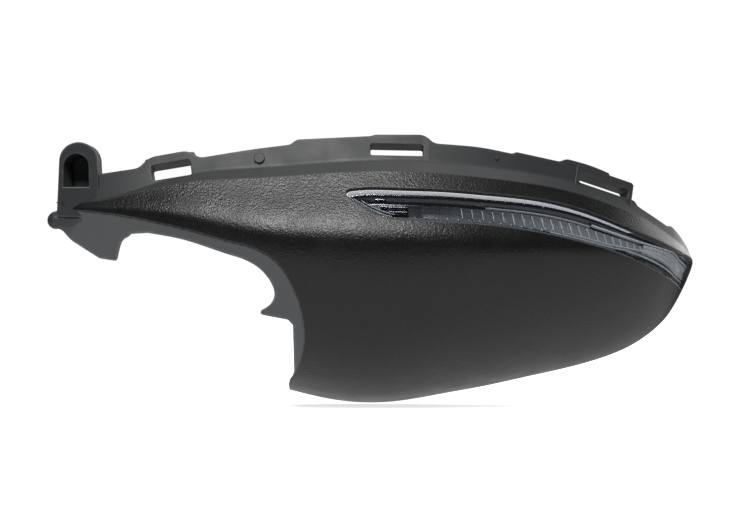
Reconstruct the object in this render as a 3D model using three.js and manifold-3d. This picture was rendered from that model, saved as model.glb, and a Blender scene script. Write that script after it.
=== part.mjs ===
// Lower cover of a car's door mirror with its built-in turn-signal lamp, for the side of the car that
// the row's +X points out from. Millimetres. Frame, as the cover sits on the car: +X outboard, +Y
// rearward (towards the mirror glass), +Z up. The origin is the middle of the locating pad that the
// mirror's carrier frame rests on.
//
// The cover is one moulding: a rim flange that the upper cap clips over, a shoulder that the cap's
// edge lands on, a skin that bulges forward to a ridge and then turns under to the rear lip, and a
// collar around the notch that clears the mirror's foot. The lamp sits in a slit in the skin.
import * as THREE from "three";
import { mergeVertices } from "three/addons/utils/BufferGeometryUtils.js";
import Module from "manifold-3d";

const wasm = await Module();
wasm.setup();

// ---- Driving dimensions -------------------------------------------------------------------------

// Plan view of the ridge, the cover's foremost line: a shallow parabola inboard of NOSE_X and a
// quarter ellipse that turns rearward outboard of it.
const NOSE_X = 10;
const NOSE_LENGTH = 129;
const NOSE_DEPTH = 72;
const NOSE_TURN = THREE.MathUtils.degToRad(88);
const ARM_REACH = 139;
const ARM_SWEEP = 0.0012;
const ARM_ROOT = -60; // inboard of here, front-view places follow the arm's reach

const WALL = 2.5; // cover wall
const LIP_Y = 72; // rear lip, the bottom edge of the mirror opening
const LIP_LENGTH = 117; // from NOSE_X to the lip's outboard end
const FACE_LEAN = 0.45; // how far the upper face leans back for each millimetre of height
const FLANGE_LEAN = 0.3;
const SHOULDER_SETBACK = 3.4;
const FLANGE_STOCK = 30; // flange height before its top edge is trimmed
const FLANGE_END = 0.577; // station where the flange ends outboard
const GAP = 0.35; // between pieces that sit in or on each other

// Collar and fin around the foot notch
const COLLAR_SLOPE = 0.45; // depth gained for each millimetre away from the skin's edge
const COLLAR_DEPTH = 4; // its thickness along Y

// Seat of the carrier frame inside the cover
const SEAT_Y = 40;
const PAD = { x: 28, z: -36, width: 14, height: 9 };
const BOSS_RADIUS = 4.6;
const BOSS_HOLE_RADIUS = 1.8;
const BOSS_HOLE_DEPTH = 12;
const RIB_THICK = 1.6;
const RIB_HEIGHT = 4.5;
const RIB_STATIONS = [-0.13, 0.02, 0.24, 0.46, 0.62];
const CARRIER_BOSSES = [
  { x: -12, z: -34 },
  { x: 66, z: -27 },
  { x: -62, z: 22 },
];

// Lamp: depths are measured inwards from the skin's outer surface
const LAMP_START = -0.0965; // station of the lens's inboard tip
const LAMP_END = 0.962;
const LENS_GAP = 0.45; // between the lens and the slit's edge
const LENS_WALL = 2;
const LENS_LEG = 6.4; // depth that the lens's legs reach
const LENS_LEG_WIDTH = 1.6;
const GASKET_THICK = 1;
const TRAY_FRONT = LENS_LEG + GASKET_THICK + 2 * GAP;
const TRAY_DEPTH = 18;
const TRAY_WALL = 1.6;
const TRAY_MARGIN = 0.8; // how far the lamp tray reaches past the lens outline
const HOLLOW_START = -0.072; // station where the lens is tall enough to be hollow
const GUIDE_START = 0.03;
const GUIDE_FRONT = 3.2;
const GUIDE_BACK = 7.6;
const GUIDE_PITCH = 4.6;
const OPTIC_START = 0.62; // station where the light guide gives way to the ribbed end optic
const OPTIC_PITCH = 3;

// ---- Curves -------------------------------------------------------------------------------------

// Natural cubic spline through [position, value] pairs.
function spline(points) {
  const n = points.length;
  const x = points.map((p) => p[0]);
  const y = points.map((p) => p[1]);
  const second = new Array(n).fill(0);
  const work = new Array(n).fill(0);
  for (let i = 1; i < n - 1; i++) {
    const share = (x[i] - x[i - 1]) / (x[i + 1] - x[i - 1]);
    const pivot = share * second[i - 1] + 2;
    const bend = (y[i + 1] - y[i]) / (x[i + 1] - x[i]) - (y[i] - y[i - 1]) / (x[i] - x[i - 1]);
    second[i] = (share - 1) / pivot;
    work[i] = ((6 * bend) / (x[i + 1] - x[i - 1]) - share * work[i - 1]) / pivot;
  }
  for (let i = n - 2; i >= 0; i--) second[i] = second[i] * second[i + 1] + work[i];
  return (at) => {
    let i = 0;
    while (i < n - 2 && at > x[i + 1]) i++;
    const h = x[i + 1] - x[i];
    const a = (x[i + 1] - at) / h;
    const b = 1 - a;
    const cubic = (a ** 3 - a) * second[i] + (b ** 3 - b) * second[i + 1];
    return a * y[i] + b * y[i + 1] + (cubic * h * h) / 6;
  };
}

// Heights along the cover, by station: 0 is NOSE_X, 1 the outboard end, negative the arm.
const STATION_LENGTH = NOSE_LENGTH * NOSE_TURN;
const ARM_END = -ARM_REACH / STATION_LENGTH;
const splitHeight = spline([
  [-0.71, 22.3], [-0.59, 24.6], [-0.5, 28.5], [-0.43, 31.2], [-0.3, 32.9], [-0.05, 35.7],
  [0.1, 35], [0.22, 33], [0.35, 30.2], [0.47, 26.1], [0.55, 22.2], [0.65, 17.5], [0.72, 13],
  [0.8, 8.1], [0.86, 5.2], [0.93, 2.8], [1, 0.9],
]);
const ridgeHeight = spline([
  [-0.71, 20.6], [-0.58, 20], [-0.42, 15.5], [-0.25, 8.5], [-0.1, 6.5], [0, 6],
  [0.43, 4.5], [0.79, 2], [1, -1.8],
]);
const lipHeight = spline([
  [-0.71, -44], [-0.3, -52.5], [-0.216, -56.8], [-0.13, -60.6], [-0.04, -61.9], [0.03, -60.8],
  [0.12, -58], [0.215, -55], [0.316, -51.4], [0.427, -47.7], [0.555, -43.2], [0.674, -38.2],
  [0.85, -29.6], [1, -24],
]);
const shoulderRise = spline([
  [-0.71, 0.6], [-0.56, 0.8], [-0.43, 3.1], [-0.2, 4.5], [0.2, 4.8], [0.5, 5], [0.66, 5],
  [0.75, 4.6], [0.81, 3.8], [0.88, 2.1], [0.96, 1.1], [1, 0.7],
]);
const shoulderFade = spline([[-0.71, 0.3], [-0.56, 0.4], [-0.43, 0.9], [-0.3, 1], [0.5, 1], [0.75, 0.35], [1, 0.1]]);

// Lens outline in the front view: height of its top and bottom edge by X.
const lensTop = spline([
  [-12, 27.4], [-4, 28.4], [12, 28.3], [28, 27.8], [48, 26.3], [75, 23.0], [95, 17.3],
  [113, 10.2], [131, 2.4], [138, -1.6],
]);
const lensBottom = spline([
  [-10.5, 27], [-7.5, 24.4], [-4.2, 22.3], [0, 19.8], [4, 18], [8.3, 16.7], [15, 16.1], [28, 15.5],
  [48, 14.2], [64, 12.1], [88, 7], [112, -1], [128, -9.2], [134, -13],
]);

// ---- The skin -----------------------------------------------------------------------------------

const V = (x, y, z) => new THREE.Vector3(x, y, z);
const UP = V(0, 0, 1);
const RIDGE_V = 0.4; // where the ridge is across the skin: 0 is the split line, 1 the lip

function bezier(p0, p1, p2, p3, t) {
  const u = 1 - t;
  return p0.clone().multiplyScalar(u * u * u)
    .addScaledVector(p1, 3 * u * u * t)
    .addScaledVector(p2, 3 * u * t * t)
    .addScaledVector(p3, t * t * t);
}

// The named lines at one station: ridge, split line, lip, and the level direction into the cover.
function station(s) {
  const turn = Math.max(0, s) * NOSE_TURN;
  const x = s <= 0 ? NOSE_X + s * STATION_LENGTH : NOSE_X + NOSE_LENGTH * Math.sin(turn);
  const y = s <= 0 ? ARM_SWEEP * (x - NOSE_X) ** 2 : NOSE_DEPTH * (1 - Math.cos(turn));
  const inward = V(-Math.sin(turn), Math.cos(turn), 0);
  const ridge = V(x, y, ridgeHeight(s));
  const rise = splitHeight(s) - ridge.z;
  const split = ridge.clone().addScaledVector(inward, FACE_LEAN * rise).addScaledVector(UP, rise);
  const lipX = s <= 0 ? x : NOSE_X + LIP_LENGTH * Math.sin(turn);
  const lip = V(lipX, LIP_Y, lipHeight(s));
  return { inward, ridge, split, lip, rise };
}

// A point of the skin's outer surface.
function skinPoint(s, v) {
  const { inward, ridge, split, lip, rise } = station(s);
  if (v <= RIDGE_V) {
    const lean = V(0, 0, -1).addScaledVector(inward, -0.5).multiplyScalar(rise * 0.5);
    return bezier(split, split.clone().add(lean), ridge.clone().addScaledVector(UP, rise * 0.24),
      ridge, v / RIDGE_V);
  }
  const drop = ridge.z - lip.z;
  const forward = V(ridge.x - lip.x, ridge.y - lip.y, 0);
  const tuck = Math.max(0, s);
  return bezier(ridge, ridge.clone().addScaledVector(UP, -drop * (0.36 - 0.2 * tuck)),
    lip.clone().addScaledVector(forward, 0.55 - 0.3 * tuck), lip, (v - RIDGE_V) / (1 - RIDGE_V));
}

// Outward unit normal of the skin, and the skin's point moved inwards by a depth.
function skinNormal(s, v) {
  const d = 2e-3;
  const s0 = THREE.MathUtils.clamp(s, ARM_END + d, 1 - d);
  const v0 = THREE.MathUtils.clamp(v, d, 1 - d);
  const along = skinPoint(s0 + d, v0).sub(skinPoint(s0 - d, v0));
  const down = skinPoint(s0, v0 + d).sub(skinPoint(s0, v0 - d));
  return down.cross(along).normalize();
}
const below = (s, v, depth) => skinPoint(s, v).addScaledVector(skinNormal(s, v), -depth);

// Millimetres along the skin for a unit of v.
function skinSpeed(s, v) {
  const d = 1e-3;
  return skinPoint(s, v + d).distanceTo(skinPoint(s, v - d)) / (2 * d);
}

// Where across the skin a front-view line height(x) is crossed, moved down by shift millimetres.
function acrossAt(s, height, shift = 0) {
  let low = 0;
  let high = 1;
  for (let i = 0; i < 40; i++) {
    const mid = (low + high) / 2;
    const p = skinPoint(s, mid);
    if (p.z > height(p.x)) low = mid;
    else high = mid;
  }
  const steps = Math.ceil(Math.abs(shift) / 0.1);
  for (let i = 0; i < steps; i++) low += shift / steps / skinSpeed(s, low + Math.sign(shift) * 1e-3);
  return low;
}

// Depth (Y) of the skin's outer surface at a front-view point.
function skinDepthAt(x, z) {
  let s = (x - NOSE_X) / STATION_LENGTH;
  let p = V(0, 0, 0);
  for (let i = 0; i < 25; i++) {
    p = skinPoint(s, acrossAt(s, () => z));
    s = THREE.MathUtils.clamp(s + (x - p.x) / STATION_LENGTH, ARM_END, 0.99);
  }
  return p.y;
}

// ---- Solids -------------------------------------------------------------------------------------

function toSolid(geometry) {
  const g = geometry.clone();
  g.deleteAttribute("normal");
  g.deleteAttribute("uv");
  const merged = mergeVertices(g, 1e-4);
  return new wasm.Manifold(new wasm.Mesh({
    numProp: 3,
    vertProperties: new Float32Array(merged.attributes.position.array),
    triVerts: new Uint32Array(merged.index.array),
  }));
}

function toGeometry(solid) {
  const mesh = solid.getMesh();
  const g = new THREE.BufferGeometry();
  g.setAttribute("position", new THREE.BufferAttribute(new Float32Array(mesh.vertProperties), 3));
  g.setIndex(new THREE.BufferAttribute(new Uint32Array(mesh.triVerts), 1));
  return g;
}

// The largest body of a solid: drops the slivers that a cut leaves at a feathered edge.
function mainBody(solid) {
  return solid.decompose().reduce((a, b) => (b.volume() > a.volume() ? b : a));
}

// A closed solid between two grids of points, outer[i][j] and inner[i][j].
function gridSolid(outer, inner) {
  const rows = outer.length;
  const cols = outer[0].length;
  const positions = [...outer.flat(), ...inner.flat()].flatMap((p) => [p.x, p.y, p.z]);
  const id = (side, i, j) => side * rows * cols + i * cols + j;
  const index = [];
  const quad = (a, b, c, d) => index.push(a, b, c, a, c, d);
  for (let i = 0; i < rows - 1; i++)
    for (let j = 0; j < cols - 1; j++) {
      quad(id(0, i, j), id(0, i + 1, j), id(0, i + 1, j + 1), id(0, i, j + 1));
      quad(id(1, i, j), id(1, i, j + 1), id(1, i + 1, j + 1), id(1, i + 1, j));
    }
  for (let i = 0; i < rows - 1; i++) {
    quad(id(0, i, 0), id(1, i, 0), id(1, i + 1, 0), id(0, i + 1, 0));
    quad(id(0, i, cols - 1), id(0, i + 1, cols - 1), id(1, i + 1, cols - 1), id(1, i, cols - 1));
  }
  for (let j = 0; j < cols - 1; j++) {
    quad(id(0, 0, j), id(0, 0, j + 1), id(1, 0, j + 1), id(1, 0, j));
    quad(id(0, rows - 1, j), id(1, rows - 1, j), id(1, rows - 1, j + 1), id(0, rows - 1, j + 1));
  }
  const make = (order) => {
    const g = new THREE.BufferGeometry();
    g.setAttribute("position", new THREE.Float32BufferAttribute(positions, 3));
    g.setIndex(order);
    return toSolid(g);
  };
  const solid = make(index);
  if (solid.volume() > 0) return solid;
  const turned = [];
  for (let i = 0; i < index.length; i += 3) turned.push(index[i], index[i + 2], index[i + 1]);
  return make(turned);
}

// A front-view outline swept along Y from near to far.
function prism(shape, near, far, curveSegments = 6) {
  const g = new THREE.ExtrudeGeometry(shape, { depth: far - near, bevelEnabled: false, curveSegments });
  g.rotateX(Math.PI / 2);
  g.translate(0, far, 0);
  return toSolid(g);
}

// A geometry placed by a matrix.
const placed = (geometry, matrix) => toSolid(geometry.clone().applyMatrix4(matrix));

// A closed outline through [x, z, radius] corners, each rounded by its radius.
function roundedOutline(corners) {
  const shape = new THREE.Shape();
  corners.forEach(([x, z, r = 0], i) => {
    const at = new THREE.Vector2(x, z);
    const before = corners[(i + corners.length - 1) % corners.length];
    const after = corners[(i + 1) % corners.length];
    const back = new THREE.Vector2(before[0], before[1]).sub(at);
    const on = new THREE.Vector2(after[0], after[1]).sub(at);
    const cut = Math.min(r, back.length() / 2.05, on.length() / 2.05);
    const start = at.clone().addScaledVector(back.normalize(), cut);
    const end = at.clone().addScaledVector(on.normalize(), cut);
    if (i === 0) shape.moveTo(start.x, start.y);
    else shape.lineTo(start.x, start.y);
    if (cut > 0) shape.quadraticCurveTo(x, z, end.x, end.y);
  });
  shape.closePath();
  return shape;
}

const spread = (from, to, count) =>
  Array.from({ length: count + 1 }, (_, i) => from + ((to - from) * i) / count);

// Across the skin, the middle of the lamp at a station.
const lampMiddle = (s) => acrossAt(s, (x) => (lensTop(x) + lensBottom(x)) / 2);

// A point of the lamp: under the skin's point by a depth along the lamp's own axis at that station,
// so that the walls of every layer stay parallel. The axis is the skin's normal, evened out.
function lampAxis(s) {
  return spread(-0.1, 0.1, 4).reduce((sum, q) => {
    const at = THREE.MathUtils.clamp(s + q, 2 * s - LAMP_END, 2 * s - LAMP_START);
    const near = THREE.MathUtils.clamp(at, LAMP_START, LAMP_END);
    return sum.add(skinNormal(near, lampMiddle(near)));
  }, V(0, 0, 0)).normalize();
}
const lampPoint = (s, v, depth) => skinPoint(s, v).addScaledVector(lampAxis(s), -depth);

// A band of the lamp between two depths, inside the lens outline by its own distances at the top and
// the bottom. near and far are depths, or lists with one depth for each station.
function lampBand({ stations, top, bottom = top, near, far, across = 2 }) {
  const rows = stations.map((s) => ({
    axis: lampAxis(s),
    points: spread(acrossAt(s, lensTop, top), acrossAt(s, lensBottom, -bottom), across)
      .map((v) => skinPoint(s, v)),
  }));
  const layer = (depth) => rows.map(({ axis, points }, i) =>
    points.map((p) => p.clone().addScaledVector(axis, -(depth[i] ?? depth))));
  return gridSolid(layer(near), layer(far));
}

// A block under the lens outline, smaller than it by inset all round.
function lampBlock({ from = LAMP_START, to = LAMP_END, inset = 0, near, far, steps = 32, across = 2 }) {
  const shift = inset / STATION_LENGTH;
  return lampBand({ stations: spread(from + shift, to - shift, steps), top: inset, near, far, across });
}

// A frame in the lamp: X outboard along a line v(s) on the skin, Y up, Z out of the cover.
function frameOn(line, s, depth) {
  const out = lampAxis(s);
  const along = skinPoint(s + 0.02, line(s + 0.02)).sub(skinPoint(s - 0.02, line(s - 0.02)));
  along.addScaledVector(out, -along.dot(out)).normalize();
  return new THREE.Matrix4().makeBasis(along, out.clone().cross(along), out)
    .setPosition(lampPoint(s, line(s), depth));
}
const lampFrame = (s, depth) => frameOn(lampMiddle, s, depth);

// A cylinder along a frame's Z, from its origin outwards.
function post(matrix, radius, length, segments = 20) {
  const g = new THREE.CylinderGeometry(radius, radius, length, segments);
  g.rotateX(Math.PI / 2).translate(0, 0, length / 2);
  return placed(g, matrix);
}

// ---- Cover --------------------------------------------------------------------------------------

const flangeStock = (s) => (s < FLANGE_END ? FLANGE_STOCK : 0.4);

// Outer profile of the cover at one station, from the flange's top to the lip.
function coverProfile(s) {
  const { inward, split } = station(s);
  const foot = split.clone()
    .addScaledVector(inward, SHOULDER_SETBACK * shoulderFade(s))
    .addScaledVector(UP, shoulderRise(s));
  const top = foot.clone().addScaledVector(inward, FLANGE_LEAN * flangeStock(s))
    .addScaledVector(UP, flangeStock(s));
  const skin = [...spread(0, RIDGE_V, 5), ...spread(RIDGE_V, 1, 8).slice(1)];
  return [top, foot, ...skin.map((v) => skinPoint(s, v))];
}

// On the flange at a front-view point: the level direction along it, its outward normal, and the point.
function flangeFrame(x, z) {
  let s = (x - NOSE_X) / STATION_LENGTH;
  for (let i = 0; i < 20; i++) {
    const [top, foot] = coverProfile(Math.min(s, FLANGE_END - 1e-3));
    const t = (z - foot.z) / (top.z - foot.z);
    s += (x - THREE.MathUtils.lerp(foot.x, top.x, t)) / STATION_LENGTH;
  }
  const at = (q) => {
    const [top, foot] = coverProfile(q);
    return foot.lerp(top, (z - foot.z) / (top.z - foot.z));
  };
  const along = at(s + 0.01).sub(at(s - 0.01)).normalize();
  const [top, foot] = coverProfile(s);
  const rise = top.sub(foot).normalize();
  const out = along.clone().cross(rise).normalize();
  return { along, out, at: at(s) };
}

function coverShell() {
  const stations = [
    ...spread(ARM_END, 0, 12),
    ...spread(0, FLANGE_END - 0.004, 10).slice(1),
    ...spread(FLANGE_END + 0.004, 1, 9),
  ];
  const outer = stations.map(coverProfile);
  const rows = outer.length;
  const cols = outer[0].length;
  const inner = outer.map((profile, i) => profile.map((p, j) => {
    const along = outer[Math.min(i + 1, rows - 1)][j].clone().sub(outer[Math.max(i - 1, 0)][j]);
    if (j === 0) along.z = 0;
    const down = profile[Math.min(j + 1, cols - 1)].clone().sub(profile[Math.max(j - 1, 0)]);
    return p.clone().addScaledVector(down.cross(along).normalize(), -WALL);
  }));
  return gridSolid(outer, inner);
}

// Front-view X inboard of ARM_ROOT, stretched with the arm.
const ARM_DRAWN = 69; // the arm's drawn length inboard of ARM_ROOT
const armX = (x) => Math.max(x, ARM_ROOT)
  + (Math.min(x - ARM_ROOT, 0) * (ARM_REACH - NOSE_X + ARM_ROOT)) / ARM_DRAWN;
const onArm = (points) => points.map(([x, ...rest]) => [armX(x), ...rest]);

// Tabs of the flange that the upper cap's hooks latch into. Each window is cut square to the flange.
const TABS = [
  { x: armX(-81.2), z: 36.4, width: 16, height: 6.4, tilt: 0.17, block: 21 },
  { x: 11, z: 44.6, width: 21.5, height: 4.7, tilt: -0.02, block: 27 },
  { x: 97.2, z: 30.4, width: 23, height: 4.2, tilt: -0.3, block: 27 },
];
const TAB_THICK = 8;

// The flange's top edge in the front view, with its three tabs, closed over the space above it.
const SKY = 90;
const RIM_OUTLINE = onArm([
  [-140, SKY], [-140, 31.5], [-112.5, 34.8, 2], [-94.8, 37.3, 2], [-90.6, 41.8, 3], [-74.6, 44.6, 3],
  [-69.8, 41.5, 2], [-49, 44.9, 8], [-32.6, 46.9, 1], [-30.1, 49, 1], [0.4, 50.4, 1], [2, 51, 1],
  [22.4, 51, 3.5], [26.2, 47.4, 2], [45, 46.1, 20], [58.7, 43.3, 1], [60, 44.1, 1], [78.3, 40.3, 1],
  [81.3, 41.5, 1.5], [92, 38.8, 6], [106, 33, 5], [110.2, 25, 3], [111.6, 22.2, 1], [125, 14],
  [150, 14], [150, SKY],
]);

// The skin's free edge around the foot notch, front view, from the knob to the lip's inboard end.
const NOTCH_EDGE = onArm([
  [-131.5, 17.8], [-121.6, 19.8], [-106.5, 18.4], [-92.3, 16], [-75, 12.1], [-58, 7.4], [-48.3, 4.9],
  [-41, 1.4], [-35.8, -3.4], [-31.2, -11.5], [-28.2, -20], [-27, -29], [-27.6, -37.5], [-31, -47],
  [-34.5, -53],
]);
// The collar's rear edge, front view: fin, arch over the foot's neck, hook, and inboard wall.
const FIN_EDGE = onArm([
  [-129.9, 13.1, 1], [-126.5, 11.7, 1], [-123.8, 8.1, 3], [-118, 4.4, 6], [-111.2, 0.2, 0.6],
  [-104.2, -0.8, 0.6], [-102.8, 4.5, 2], [-101.4, 8.1, 4], [-96.3, 10.1, 3],
]);
const ARCH_EDGE = onArm([
  [-90.5, 10.6], [-75.6, 7.8], [-59, 2.4], [-50.9, -0.2], [-44.9, -3.6], [-40.5, -8.7],
  [-38.7, -13.9], [-40.4, -18.2], [-44.6, -21],
]);
const HOOK_EDGE = [[-44.8, -22.4], [-43.1, -23], [-33.4, -24.8], [-31.5, -27.1], [-31.7, -46.8], [-33, -50]];

const notchCurve = new THREE.SplineCurve(NOTCH_EDGE.map(([x, z]) => new THREE.Vector2(x, z)));
const NOTCH_POINTS = notchCurve.getPoints(36);

// Depth of the collar's outer face: it starts at the skin's edge and slopes back away from it.
const edgeDepths = NOTCH_POINTS.map((p) => skinDepthAt(Math.max(p.x, armX(-128)), p.y));
function collarDepth(x, z) {
  let best = { distance: Infinity, y: 0 };
  for (let i = 0; i + 1 < NOTCH_POINTS.length; i++) {
    const a = NOTCH_POINTS[i];
    const b = NOTCH_POINTS[i + 1];
    const span = b.clone().sub(a);
    const t = THREE.MathUtils.clamp(((x - a.x) * span.x + (z - a.y) * span.y) / span.lengthSq(), 0, 1);
    const distance = Math.hypot(x - a.x - t * span.x, z - a.y - t * span.y);
    if (distance < best.distance) {
      const side = span.x * (z - a.y) - span.y * (x - a.x);
      best = { distance, side, y: THREE.MathUtils.lerp(edgeDepths[i], edgeDepths[i + 1], t) };
    }
  }
  return best.side > 0 ? best.y + 0.5 : best.y + COLLAR_SLOPE * best.distance;
}

function collar() {
  const step = 4;
  const columns = spread(armX(-136), -24, Math.round(112 / step));
  const levels = spread(24, -56, Math.round(80 / step));
  const sheet = (offset) => columns.map((x) => levels.map((z) => V(x, collarDepth(x, z) + offset, z)));
  const slab = gridSolid(sheet(0), sheet(COLLAR_DEPTH));
  const rear = [
    ...roundedOutline(FIN_EDGE).getPoints(4).slice(0, -1),
    ...new THREE.SplineCurve(ARCH_EDGE.map(([x, z]) => new THREE.Vector2(x, z))).getPoints(26),
    ...HOOK_EDGE.map(([x, z]) => new THREE.Vector2(x, z)),
  ];
  const front = NOTCH_POINTS.map((p, i) => {
    const t = notchCurve.getTangent(i / (NOTCH_POINTS.length - 1));
    return new THREE.Vector2(p.x - t.y * 1.2, p.y + t.x * 1.2);
  });
  const region = new THREE.Shape([...front.reverse(), ...rear]);
  return slab.intersect(prism(region, -10, 100));
}

// Everything below and inboard of the skin's free edge.
function notchCutter() {
  const corners = [...NOTCH_POINTS, new THREE.Vector2(-36, -90), new THREE.Vector2(-160, -90),
    new THREE.Vector2(-160, 17.6)];
  return prism(new THREE.Shape(corners), -30, 120);
}

// A tab's frame: X along the tab, Y up it, Z out of the flange.
function tabFrame({ x, z, tilt }) {
  const { along, out, at } = flangeFrame(x, z);
  const level = along.clone().applyAxisAngle(out, tilt - Math.asin(along.z));
  return new THREE.Matrix4().makeBasis(level, out.clone().cross(level), out).setPosition(at);
}

function tabBlock(spec) {
  const g = new THREE.BoxGeometry(spec.block, spec.height + 7.2, TAB_THICK - 0.4);
  g.translate(0, -0.3, -TAB_THICK / 2 - 0.2);
  return placed(g, tabFrame(spec));
}

function tabWindow(spec) {
  return placed(new THREE.BoxGeometry(spec.width, spec.height, 4 * TAB_THICK), tabFrame(spec));
}

// The arched socket at the inboard end of the flange, blind from behind.
const SOCKET = { x: armX(-119.4), half: 8.9, round: 7.9, top: 47.9 };
const SOCKET_HOLE = { x: armX(-119.4) - 0.9, half: 5.2, round: 5, top: 43.1 };
const SOCKET_FLOOR = 29.6;
const SOCKET_FRONT = 21.5;
const SOCKET_BACK = 36;
function archShape({ x, half, round, top }, floor) {
  const shape = new THREE.Shape();
  shape.moveTo(x - half, floor);
  shape.lineTo(x + half, floor);
  shape.lineTo(x + round, top - round);
  shape.absarc(x, top - round, round, 0, Math.PI, false);
  shape.closePath();
  return shape;
}

// The space behind the middle of the skin's wall: what stands on the wall is cut to it.
function behindSkin(from, to) {
  const front = spread(from, to, 12).map((s) => spread(0.02, 0.98, 12).map((v) => below(s, v, WALL / 2)));
  return gridSolid(front, front.map((row) => row.map((p) => V(p.x, 110, p.z))));
}

// A block that stands on the inside of the skin and ends level with the carrier's seat.
function seatBlock({ x, z, width, height, back = SEAT_Y }) {
  const g = new THREE.BoxGeometry(width, 60, height);
  return placed(g, new THREE.Matrix4().makeTranslation(x, back - 30, z));
}

function boss({ x, z }) {
  const seat = new THREE.Matrix4().makeBasis(V(1, 0, 0), V(0, 0, 1), V(0, -1, 0));
  const fin = seatBlock({ x, z: z - 3, width: 1.8, height: 20, back: SEAT_Y - 4 });
  return {
    body: post(seat.clone().setPosition(x, SEAT_Y, z), BOSS_RADIUS, 60, 24).add(fin),
    hole: post(seat.clone().setPosition(x, SEAT_Y + 1, z), BOSS_HOLE_RADIUS, BOSS_HOLE_DEPTH + 1, 16),
  };
}

// Shallow ribs across the inside of the skin's lower half.
function rib(s) {
  const half = RIB_THICK / 2 / STATION_LENGTH;
  const layer = (depth) => [s - half, s + half].map((q) =>
    spread(0.6, 0.985, 8).map((v) => below(q, v, depth)));
  return gridSolid(layer(WALL / 2), layer(WALL + RIB_HEIGHT));
}

function peg(x, z, radius, height) {
  const { along, out, at } = flangeFrame(x, z);
  const matrix = new THREE.Matrix4().makeBasis(along, out.clone().cross(along), out)
    .setPosition(at.clone().addScaledVector(out, -1));
  return post(matrix, radius, height + 1, 16);
}

// Lamp fixing points: station, and how far below the lens the boss stands.
const LAMP_FIXINGS = [
  { s: -0.045, outside: 6 },
  { s: 0.3, outside: 6 },
  { s: 0.58, outside: 5.6 },
];
const LUG_DEPTH = 9.2;
const LUG_THICK = 2;
const LAMP_BOSS_RADIUS = 3.4;
const LAMP_SCREW_RADIUS = 1.1;
const fixingFrame = ({ s, outside }, depth) =>
  frameOn((q) => acrossAt(q, lensBottom, outside), s, depth);

function buildCover() {
  let cover = coverShell().subtract(notchCutter());
  cover = cover.subtract(prism(roundedOutline(RIM_OUTLINE), -30, 120));
  const socket = prism(archShape(SOCKET, 24.5), SOCKET_FRONT, SOCKET_BACK, 10);
  const pocket = prism(archShape(SOCKET_HOLE, SOCKET_FLOOR), SOCKET_FRONT - 30, SOCKET_BACK - 2, 10);
  const knob = toSolid(new THREE.SphereGeometry(4, 14, 8).translate(armX(-128.6), 25, 15.9));
  const bosses = CARRIER_BOSSES.map(boss);
  const behind = behindSkin(0.94 * ARM_END, 0.7);
  const additions = [
    collar(), socket, knob,
    seatBlock(PAD).intersect(behind),
    ...TABS.map(tabBlock),
    ...bosses.map((b) => b.body.intersect(behind)),
    ...RIB_STATIONS.map(rib),
    peg(-45.2, 41, 2.2, 1),
    peg(52, 41.2, 0.9, 0.7),
    ...LAMP_FIXINGS.map((f) => post(fixingFrame(f, LUG_DEPTH - GAP), LAMP_BOSS_RADIUS, LUG_DEPTH)
      .intersect(behind)),
  ];
  for (const piece of additions) cover = cover.add(piece);
  const cuts = [
    pocket,
    ...TABS.map(tabWindow),
    ...bosses.map((b) => b.hole),
    lampBlock({ inset: -LENS_GAP, near: -6, far: LENS_LEG + 3 }),
    ...LAMP_FIXINGS.map((f) => post(fixingFrame(f, LUG_DEPTH + 1), LAMP_SCREW_RADIUS + 0.15, 6.4, 12)),
  ];
  for (const cutter of cuts) cover = cover.subtract(cutter);
  return mainBody(cover);
}

// ---- Lamp ---------------------------------------------------------------------------------------

// The clear lens: a plate flush with the skin, with a leg all round that reaches back to the gasket.
function buildLens() {
  const hollow = lampBlock({ from: HOLLOW_START, inset: LENS_LEG_WIDTH, near: LENS_WALL, far: LENS_LEG + 2 });
  return mainBody(lampBlock({ near: 0, far: LENS_LEG }).subtract(hollow));
}

function buildGasket() {
  const near = LENS_LEG + GAP;
  const far = near + GASKET_THICK;
  const hole = lampBlock({ from: HOLLOW_START, inset: LENS_LEG_WIDTH, near: near - 1, far: far + 1 });
  return mainBody(lampBlock({ inset: 0.2, near, far }).subtract(hole));
}

// Screw lug in its fixing's frame: a round pad with a neck up to the tray.
function lug(fixing) {
  const frame = fixingFrame(fixing, LUG_DEPTH + LUG_THICK);
  const neck = new THREE.BoxGeometry(2 * LAMP_BOSS_RADIUS, fixing.outside, LUG_THICK)
    .translate(0, fixing.outside / 2, LUG_THICK / 2);
  return post(frame, LAMP_BOSS_RADIUS, LUG_THICK, 20).add(placed(neck, frame));
}

// The plug socket moulded on the tray's back, and the frame of its closed end.
const PLUG = { s: 0.06, width: 13, height: 8, wall: 1.3, length: 12, floor: 2 };
const plugFrame = () => lampFrame(PLUG.s, TRAY_DEPTH - TRAY_WALL / 2);
const plugBox = (width, height, from, to) =>
  placed(new THREE.BoxGeometry(width, height, to - from).translate(0, 0, -(from + to) / 2), plugFrame());

const VENT = { s: 0.34, radius: 3.2, hole: 1.2, thick: 0.5 };

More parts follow.
